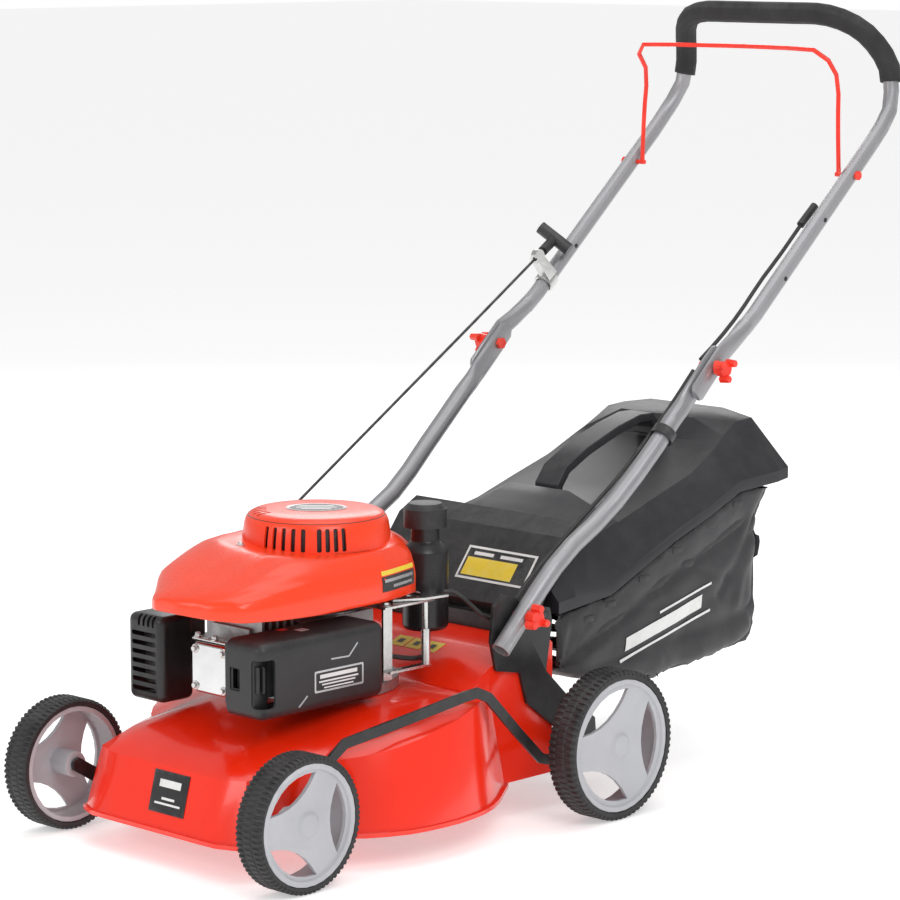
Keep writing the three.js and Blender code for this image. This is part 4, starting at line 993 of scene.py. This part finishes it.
def makeCap():
    centre = (*capSet["centre"], 0)
    outer = turned("recoil_cap", "z", centre, capSet["profile"], 128)
    piece = newPiece("recoil_cap", outer, None, "redMoulding", ["recoil_cover"])
    inside = [(300, 83)] + [(z - 2.2 if z > 330 else z, max(0.1, r - 2.6)) for z, r in capSet["profile"]]
    cutters = [turned("inside", "z", centre, inside, 96)]
    low, high = capSet["slotHeight"]
    slots = []
    for offset in capSet["slots"]:
        a = math.radians(capSet["facing"] + offset)
        outward = Vector((math.cos(a), math.sin(a), 0))
        side = Vector((-math.sin(a), math.cos(a), 0))
        middle = Vector((centre[0], centre[1], (low + high) / 2)) + outward * 62
        slots.append(slotCutter(middle, side, upright, capSet["slotWidth"] / 2, (high - low) / 2, 2, 40))
    for k in range(capSet["topSlots"]):
        a = math.radians(capSet["facing"] - 62 - 9 * k)
        outward = Vector((math.cos(a), math.sin(a), 0))
        side = Vector((-math.sin(a), math.cos(a), 0))
        middle = Vector((centre[0], centre[1], 372)) + outward * 66
        slots.append(slotCutter(middle, outward, side, 9, 1.9, 1.8, -16))
    cutters.append(joined("slots", slots))
    cutAway(piece, *cutters)
    rollEdges(piece, 0.4, 40, 1)
    smoothMesh(piece.data, 35)
    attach(piece, "deck")
    # a dark band behind the slots: painted shade seen through them
    slotShade = [(318, 80.5), (364, 78.5), (364, 77.5), (318, 79.5)]
    mesh = turned("cap_slot_shade", "z", centre, slotShade, 96, 35, True)
    newPiece("cap_slot_shade", mesh, "deck", "blackMoulding")
    # oval badge: silver rim, dark field and three plain bars
    steps = 56
    turn = math.radians(capSet["badgeTurn"])
    across = Vector((math.cos(turn), math.sin(turn), 0))
    side = Vector((-math.sin(turn), math.cos(turn), 0))

    def oval(scale, top):
        out = []
        for k in range(steps):
            a = math.tau * k / steps
            along = capSet["badge"][0] * scale * math.cos(a)
            depth = capSet["badge"][1] * scale * math.sin(a)
            x = centre[0] + along * math.cos(turn) - depth * math.sin(turn)
            y = centre[1] + along * math.sin(turn) + depth * math.cos(turn)
            out.append(at(x, y, top))
        return out

    points = oval(1, 369) + oval(1, 370.4) + oval(0.9, 370.4) + oval(0.87, 369.9)
    rim = faceOut(meshFrom("rim", points, gridFaces(4, steps, False, True)))
    newPiece("cap_badge_rim", joined("cap_badge_rim", [rim]), "deck", "labelSilver")
    field = faceOut(meshFrom("field", oval(0.885, 369.2) + oval(0.885, 370.15), tubeFaces(2, steps)))
    newPiece("cap_badge_field", field, "deck", "labelBlack")
    bars = []
    for width, depth in capSet["bars"]:
        middle = Vector((centre[0], centre[1], 370.2)) + side * depth
        bars.append(plate("bar", roundedRect(middle, across, side, width / 2, 2.4, 1.2, 3), 0.3, 0))
    newPiece("cap_badge_bars", joined("cap_badge_bars", bars), "deck", "labelWhite")


shapeShroud()
makeCap()
print("engine cover made")


# muffler guard: a pressed pan with slots
guardSet = {"wall": 1.6, "corner": 9, "slots": 7, "slotHigh": 5.4, "pitch": 10.6, "topSlots": 4}


def makeGuard():
    node = "muffler_guard"
    low, high = nodeBox(node)
    corner = guardSet["corner"]
    pan = block("pan", low, high, corner, 5)
    piece = newPiece("muffler_guard_pan", pan, None, "blackPaint", [node])
    wall = guardSet["wall"]
    hollowLow = low + Vector((wall, wall, wall))
    hollowHigh = high + Vector((-wall, 20, -wall))
    hollow = block("hollow", hollowLow, hollowHigh, corner - wall, 4)
    across = Vector((1, 0, 0))
    slots = []
    first = (low.z + high.z) / 2 - guardSet["pitch"] * (guardSet["slots"] - 1) / 2 - 4
    for k in range(guardSet["slots"]):
        middle = Vector((low.x + 29, low.y - 5, first + guardSet["pitch"] * k))
        slots.append(slotCutter(middle, across, upright, 20.5, guardSet["slotHigh"] / 2, 2.4, -20))
    for k in range(guardSet["topSlots"]):
        middle = Vector((low.x + 21 + 8 * k, low.y - 5, high.z - 7))
        slots.append(slotCutter(middle, across, upright, 2.0, 6.5, 1.9, -30))
    cutAway(piece, hollow, joined("slots", slots))
    smoothMesh(piece.data, 35)
    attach(piece, "deck")


makeGuard()
print("muffler guard made")


# air filter cover: a deep moulding with a framed plate, two slashes and a stepped front
filterSet = {
    "corner": 11,
    "plateX": 122,
    # half length, half height and corner of the frame's two outlines
    "rims": [(37.5, 12.2, 2), (35.3, 10, 1.2)],
    "bars": [(0.12, 0.62, 0.88, 0.8), (0.1, 0.44, 0.9, 0.52), (0.16, 0.3, 0.84, 0.37),
             (0.2, 0.15, 0.8, 0.21)],
    "slashes": [(147.5, 224.8, 160.8, 238.1), (70.9, 178.9, 83.8, 189.7), (120, 225.6, 147.5, 224.8)],
}


def makeFilterCover():
    node = "air_filter_cover"
    low, high = nodeBox(node)
    work = cubeBetween(low, high)
    outer = [e for e in work.edges if max(v.co.x for v in e.verts) * 1000 > high.x - 1]
    rollAll(work, outer, filterSet["corner"], 6, False)
    mesh = meshOf(work, node)
    piece = newPiece("air_filter_cover_shell", mesh, None, "blackMoulding", [node])
    # the front corner steps back, and a rebate runs round the open side
    cuts = [
        block("inside", low + Vector((-5, 3, 3)), high - Vector((3, 3, 3)), 8, 4),
        block("frontStep", (high.x - 16, low.y - 8, low.z + 14), (high.x + 8, low.y + 21, high.z - 18), 5, 4),
        block("clipNotch", (low.x + 6, low.y - 8, low.z + 30), (low.x + 22, low.y + 3, high.z - 30), 2, 3),
    ]
    cutAway(piece, *cuts)
    # ribs in the step, a seam bead round the rim
    extras = [
        block("stepWall", (high.x - 19, low.y + 1.5, low.z + 10),
              (high.x - 14, low.y + 23, high.z - 14), 1.5),
        block("rib", (high.x - 17, low.y + 4, low.z + 30), (high.x - 9, low.y + 7, high.z - 26), 1.2, 2),
        block("rib", (high.x - 17, low.y + 10, low.z + 30), (high.x - 7, low.y + 13, high.z - 26), 1.2, 2),
        block("topRidge", (low.x + 4, low.y + 34, high.z - 1.2),
              (low.x + 34, high.y - 12, high.z - 0.05), 0.5, 2),
    ]
    piece.data = joined("air_filter_cover_shell", [piece.data] + extras)
    piece.data.materials.clear()
    piece.data.materials.append(finishes["blackMoulding"])
    rollEdges(piece, 0.8, 45, 2)
    smoothMesh(piece.data, 40)
    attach(piece, "air_filter_cover")
    tree = treeOf(piece)[0]
    x = filterSet["plateX"]
    outerRim, innerRim = [
        roundedRect(Vector((x, 132, 202.7)), Vector((0, 1, 0)), upright, halfLong, halfHigh, corner, 4)
        for halfLong, halfHigh, corner in filterSet["rims"]
    ]
    rise = Vector((0.4, 0, 0))
    rings = outerRim + [q + rise for q in outerRim] + [q + rise for q in innerRim] + innerRim
    points = [at(*p) for p in rings]
    mesh = faceOut(meshFrom("rim", points, gridFaces(4, len(outerRim), True, True)))
    newPiece("filter_plate_rim", mesh, "air_filter_cover", "labelSilver")
    mesh = layStrips("filter_plate_bars", tree, (140, 94, 190.5), (0, 75, 0), (0, 0, 24.5), (-1, 0, 0),
                     filterSet["bars"], 0.15, 0.08)
    newPiece("filter_plate_bars", mesh, "air_filter_cover", "labelWhite")
    slashes = []
    for y0, z0, y1, z1 in filterSet["slashes"]:
        start, end = Vector((x - 0.4, y0, z0)), Vector((x - 0.4, y1, z1))
        slashes.append(swept("slash", smoothPath([start, end], 3), 1.1, 8))
    for mesh in slashes:
        for vert in mesh.vertices:
            vert.co.x = min(vert.co.x, x / 1000 + 0.0005)  # a flat top, half a millimetre proud
    newPiece("filter_slashes", joined("filter_slashes", slashes), "air_filter_cover", "hubGrey")
    down = Vector((0, 0, -1))
    mesh = layOn("choke_mark_red", tree, (71, 84, 270), (9, 0, 0), (0, 12, 0), down, 0.2, 6, 6, 0.1)
    newPiece("choke_mark_red", mesh, "air_filter_cover", "redKnob")
    mesh = layOn("choke_mark_white", tree, (84, 99, 270), (12, 0, 0), (0, 13, 0), down, 0.2, 6, 6, 0.1)
    newPiece("choke_mark_white", mesh, "air_filter_cover", "labelWhite")


makeFilterCover()
print("filter cover made")


# bag cloth: folds that run out from the lower front corner, and a plain patch
foldSet = {
    "corner": (466, 160),
    # each fold: its points (along, height), how far it stands, how wide it is
    "folds": [
        ([(470, 166), (567, 206), (649, 240), (741, 274), (805, 298)], 4.2, 9),
        ([(475, 160), (600, 186), (700, 214), (800, 262)], -3.4, 13),
        ([(480, 152), (620, 168), (740, 176), (826, 186)], 3.2, 11),
        ([(488, 146), (560, 152), (640, 146)], -2.6, 7),
        ([(828, 296), (786, 250), (756, 214)], 3.4, 8),
        ([(830, 270), (800, 236), (790, 196)], -2.8, 8),
        ([(690, 262), (730, 240), (768, 236)], 2.4, 6),
        ([(566, 216), (600, 222), (640, 226)], -2.0, 6),
    ],
}


def nearLine(y, z, line):
    best = 1e9
    for (y0, z0), (y1, z1) in zip(line, line[1:]):
        dy, dz = y1 - y0, z1 - z0
        t = min(1, max(0, ((y - y0) * dy + (z - z0) * dz) / (dy * dy + dz * dz)))
        best = min(best, math.hypot(y - y0 - dy * t, z - z0 - dz * t))
    return best


def foldBag(piece):
    cornerY, cornerZ = foldSet["corner"]
    low, high = nodeBox("catcher_bag")
    for vert in piece.data.vertices:
        x, y, z = inMm(vert.co)
        normal = vert.normal
        push = 0.0
        if abs(normal.x) > 0.5:
            turn = math.atan2(z - cornerZ, y - cornerY)
            away = math.hypot(z - cornerZ, y - cornerY)
            push += 2.3 * noise.noise(Vector((turn * 7, away * 0.006, x * 0.01)))
            for line, rise, width in foldSet["folds"]:
                gap = nearLine(y, z, line) / width
                push += rise * math.exp(-gap * gap)
            push -= 3.0 * math.sin(math.pi * min(1, max(0, (y - 470) / 360)))
        elif normal.y > 0.5:
            push += 3.0 * noise.noise(Vector((x * 0.018, z * 0.007, 3.0)))
            push -= 3.0 * math.sin(math.pi * min(1, max(0, (z - low.z) / (high.z - low.z))))
        elif normal.z < -0.5:
            push += 4.0 * noise.noise(Vector((x * 0.012, y * 0.008, 7.0)))
        push += 0.7 * noise.noise(Vector((x, y, z)) * 0.05)
        vert.co += normal * (push - 1.5) / 1000
    smoothMesh(piece.data, 80)


bag = bpy.data.objects["catcher_bag_cloth"]
foldBag(bag)
bagTree = treeOf(bag)[0]


def makePatch():
    # a plain printed patch: an underline, a broad bar and a short bar on both sides
    strips = [(0.0, -0.06, 1.0, 0.02), (0.06, 0.2, 0.9, 0.62), (0.42, 0.78, 1.0, 0.85)]
    for side, sign in (("left", 1), ("right", -1)):
        corner = (sign * 200, 571, 157)
        mesh = layStrips("bag_patch", bagTree, corner, (0, 166, 40), (0, 1, 40), (-sign, 0, 0), strips,
                         0.3, 0.8)
        newPiece("bag_patch_" + side, mesh, "catcher", "labelWhite")


trimSet = {
    "hooks": [(516, 217), (555, 229), (615, 252), (676, 279), (737, 301), (790, 322)],
    "hookX": (144.6, 149.4),
    # a seam runs up each rear corner, and one along the floor on each side
    "cornerX": 134,
    "cornerRise": (160, 300, 30),
    "floorX": 60,
    "floorRun": (500, 815, 40),
}


def spotOn(tree, start, toward):
    # where a straight look from start meets the surface, in mm, and the way the surface faces
    hit, normal = tree.ray_cast(at(*start), toward)[:2]
    return (Vector(inMm(hit)), normal) if hit else (None, None)


def seamOver(starts, toward, lift, radius):
    # a cord that follows the cloth under a row of starts
    spots = [spotOn(bagTree, start, toward)[0] for start in starts]
    path = [spot + Vector(lift) for spot in spots if spot]
    return [swept("seam", smoothPath(path, 6), radius, 8)] if len(path) > 4 else []


def makeBagTrim():
    # sewn seams as raised cords, and hooks that hold the cloth to the lid
    hooks = []
    for sign in (1, -1):
        for y, z in trimSet["hooks"]:
            lowX, highX = sorted(sign * x for x in trimSet["hookX"])
            hooks.append(block("hook", (lowX, y - 9, z - 4), (highX, y + 9, z + 4), 1.2, 2))
    newPiece("bag_hooks", joined("bag_hooks", hooks), "catcher", "blackMoulding")
    seams = []
    first, last, count = trimSet["cornerRise"]
    heights = [first + (last - first) * k / (count - 1) for k in range(count)]
    for sign in (1, -1):
        starts = [(sign * trimSet["cornerX"], 900, z) for z in heights]
        seams += seamOver(starts, (0, -1, 0), (0, 0.4, 0), 1.5)
    first, last, count = trimSet["floorRun"]
    places = [first + (last - first) * k / (count - 1) for k in range(count)]
    for sign in (-1, 1):
        starts = [(sign * trimSet["floorX"], y, 20) for y in places]
        seams += seamOver(starts, (0, 0, 1), (0, 0, -0.3), 1.2)
    newPiece("bag_seams", joined("bag_seams", seams), "catcher", "bagCloth")


makePatch()
makeBagTrim()
print("bag dressed")


# plain labels
sheetSet = {
    # sheet: the part it lies on, its corner, across, up, and the way it is pressed on
    "nose": ("deck_shell", (-14, -90, 58), (58, 0, 0), (0, 0, 45), (0, 1, 0)),
    "deckTop": ("deck_shell", (-22, 352, 260), (76, 0, 0), (0, 20, 0), (0, 0, -1)),
    "shroudSide": ("engine_shroud", (160, 207, 287), (0, 66, 0), (0, 0, 23), (-1, 0, 0)),
    "flapFront": ("rear_flap", (0, 400, 258), (112, 0, 0), (0, 0, 35), (0, 1, 0)),
}
labelSet = {
    # name: sheet, body, finish, thickness, lift, strips as shares of the sheet
    "nose_plate_bars": ("nose", "deck", "labelWhite", 0.3, 0.85,
                        [(0.2, 0.62, 0.8, 0.8), (0.32, 0.32, 0.68, 0.38), (0.14, 0.2, 0.86, 0.25)]),
    "deck_squares": ("deckTop", "deck", "labelYellow", 0.3, 0.3,
                     [(0.34 * k, 0, 0.34 * k + 0.31, 1) for k in range(3)]),
    "deck_square_marks": ("deckTop", "deck", "labelBlack", 0.2, 0.7,
                          [(0.34 * k + 0.1, 0.3, 0.34 * k + 0.21, 0.7) for k in range(3)]),
    "shroud_label": ("shroudSide", "deck", "labelBlack", 0.25, 0.3, [(0, 0, 1, 0.74)]),
    "shroud_label_band": ("shroudSide", "deck", "labelYellow", 0.25, 0.3, [(0, 0.8, 1, 1.02)]),
    "shroud_label_bars": ("shroudSide", "deck", "labelSilver", 0.2, 0.6,
                          [(0.06, 0.45, 0.94, 0.6), (0.3, 0.14, 0.9, 0.28)]),
    "flap_label": ("flapFront", "rear_flap", "labelWhite", 0.2, 0.2, [(0, 0, 1, 1)]),
    "flap_label_field": ("flapFront", "rear_flap", "labelBlack", 0.15, 0.45, [(0.03, 0.07, 0.97, 0.93)]),
    "flap_label_panel": ("flapFront", "rear_flap", "labelYellow", 0.15, 0.65, [(0.06, 0.12, 0.78, 0.66)]),
    "flap_label_marks": ("flapFront", "rear_flap", "labelWhite", 0.15, 0.65,
                         [(0.12, 0.74, 0.4, 0.84), (0.5, 0.74, 0.82, 0.84)]),
}


def makeLabels():
    parts = ["deck_shell", "engine_shroud", "rear_flap"]
    trees = dict(zip(parts, treeOf(*[fine[part] for part in parts])))
    part, *nose = sheetSet["nose"]
    newPiece("nose_plate", layOn("nose_plate", trees[part], *nose, 0.5, 12, 10), "deck", "labelBlack")
    for name, (sheet, body, finish, thickness, lift, strips) in labelSet.items():
        part, *place = sheetSet[sheet]
        newPiece(name, layStrips(name, trees[part], *place, strips, thickness, lift), body, finish)


makeLabels()
print("labels laid")


# fasteners, clips and springs
fastenerSet = {
    # name: body, finish, list of (centre, direction, radius, height, washer, domed)
    "deck_rivets": ("deck", "zincSteel", [
        ((154.6, 467, 126), (1, 0, 0), 4, 2.5, 0, True),
        ((154.6, 459, 96), (1, 0, 0), 4, 2.5, 0, True),
        ((-154.6, 467, 126), (-1, 0, 0), 4, 2.5, 0, True),
        ((-154.6, 459, 96), (-1, 0, 0), 4, 2.5, 0, True),
    ]),
    # dark domes where the upper tubes have open holes: painted shade of the holes
    "tube_hole_shade_upper": ("upper_handle", "blackPaint", [
        ((189.2, 826, 600), (1, 0, 0), 3, 1.6, 0, True),
        ((189.2, 902, 667), (1, 0, 0), 3, 1.6, 0, True),
        ((-189.2, 826, 600), (-1, 0, 0), 3, 1.6, 0, True),
        ((-189.2, 902, 667), (-1, 0, 0), 3, 1.6, 0, True),
        ((-170.8, 843, 616), (1, 0, 0), 3, 1.6, 0, True),
        ((-170.8, 974, 730), (1, 0, 0), 3, 1.6, 0, True),
    ]),
}


shroudScrews = [(-16, 112), (-92, 230)]


def makeFasteners():
    for name, (body, finish, heads) in fastenerSet.items():
        meshes = [boltHead(name, *head) for head in heads]
        newPiece(name, joined(name, meshes), body, finish)
    shroud, cover = treeOf(fine["engine_shroud"], fine["rocker_cover"])
    screws = []
    for x, y in shroudScrews:
        spot, normal = spotOn(shroud, (x, y, 420), (0, 0, -1))
        if spot:
            screws.append(boltHead("screw", spot, normal, 3.6, 2.6, 5.4, True))
    newPiece("shroud_screws", joined("shroud_screws", screws), "deck", "zincSteel")
    low, high = nodeBox("rocker_cover")
    bolts = []
    for x in (low.x + 8, high.x - 8):
        for z in (low.z + 8, high.z - 8):
            spot = spotOn(cover, (x, low.y - 30, z), (0, 1, 0))[0]
            if spot:
                bolts.append(boltHead("bolt", spot, (0, -1, 0), 3.4, 2.6, 5))
    # breather clip over the top edge of the cover
    clipTop = high.z + 3
    bolts.append(block("clip", (low.x - 3, low.y + 5, high.z + 0.6), (high.x + 3, low.y + 14, clipTop),
                       0.8, 2))
    for x in (low.x + 2, low.x + 30, high.x - 4):
        bolts.append(boltHead("clipBolt", (x, low.y + 9.5, clipTop), (0, 0, 1), 3.2, 4, 4.6))
    bolts.append(block("clipLeg", (high.x - 1, low.y - 1.6, high.z - 30),
                       (high.x + 4, low.y + 9, clipTop), 0.8, 2))
    newPiece("rocker_bolts", joined("rocker_bolts", bolts), "deck", "zincSteel")


def coil(name, start, end, radius, wire, turns):
    start, end = Vector(start), Vector(end)
    ahead = (end - start).normalized()
    side = ahead.orthogonal().normalized()
    up = ahead.cross(side)
    path = []
    steps = turns * 14
    for k in range(steps + 1):
        a = math.tau * turns * k / steps
        path.append(start.lerp(end, k / steps) + side * math.cos(a) * radius + up * math.sin(a) * radius)
    return swept(name, path, wire, 6)


linkageSet = {
    "rest": 266.5,  # height the rods lie above
    "spring": ((62, 232, 5), (70, 276, 5)),
    "rods": [[(58, 214, 4), (60, 224, 5), (62, 232, 5)], [(70, 276, 5), (74, 288, 6), (86, 296, 4)]],
    "nuts": [(64, 296, 264.6), (92, 236, 264.6)],
}


def makeLinkage():
    # a governor spring and a throttle rod over the control bracket
    def raised(point):
        x, y, rise = point
        return x, y, linkageSet["rest"] + rise

    parts = [coil("spring", *map(raised, linkageSet["spring"]), 3.2, 0.6, 16)]
    for path in linkageSet["rods"]:
        parts.append(swept("rod", smoothPath(map(raised, path), 3), 1.0, 8))
    for centre in linkageSet["nuts"]:
        parts.append(boltHead("nut", centre, (0, 0, 1), 4.2, 3.4, 6.2))
    newPiece("governor_spring", joined("governor_spring", parts), "deck", "zincSteel")


clipSet = {"centre": (174, 618, 429), "radius": 12.4, "wall": 2.2, "half": 6, "ahead": (0, 0.73, 0.683)}


def makeClip():
    # a cable clip closed round the left lower tube
    ahead = Vector(clipSet["ahead"]).normalized()
    centre, half = Vector(clipSet["centre"]), clipSet["half"]
    inner, outer = clipSet["radius"], clipSet["radius"] + clipSet["wall"]
    side = Vector((1, 0, 0))
    up = ahead.cross(side)
    ring = []
    for level, size in ((-half, inner), (-half, outer), (half, outer), (half, inner)):
        ring += ringAt(centre + ahead * level, side, up, size, 40)
    clip = faceOut(meshFrom("clip", ring, gridFaces(4, 40, True, True)))
    newPiece("cable_clip", joined("cable_clip", [clip]), "lower_handle", "blackMoulding")


makeFasteners()
makeLinkage()
makeClip()
print("fasteners, spring and clip made")
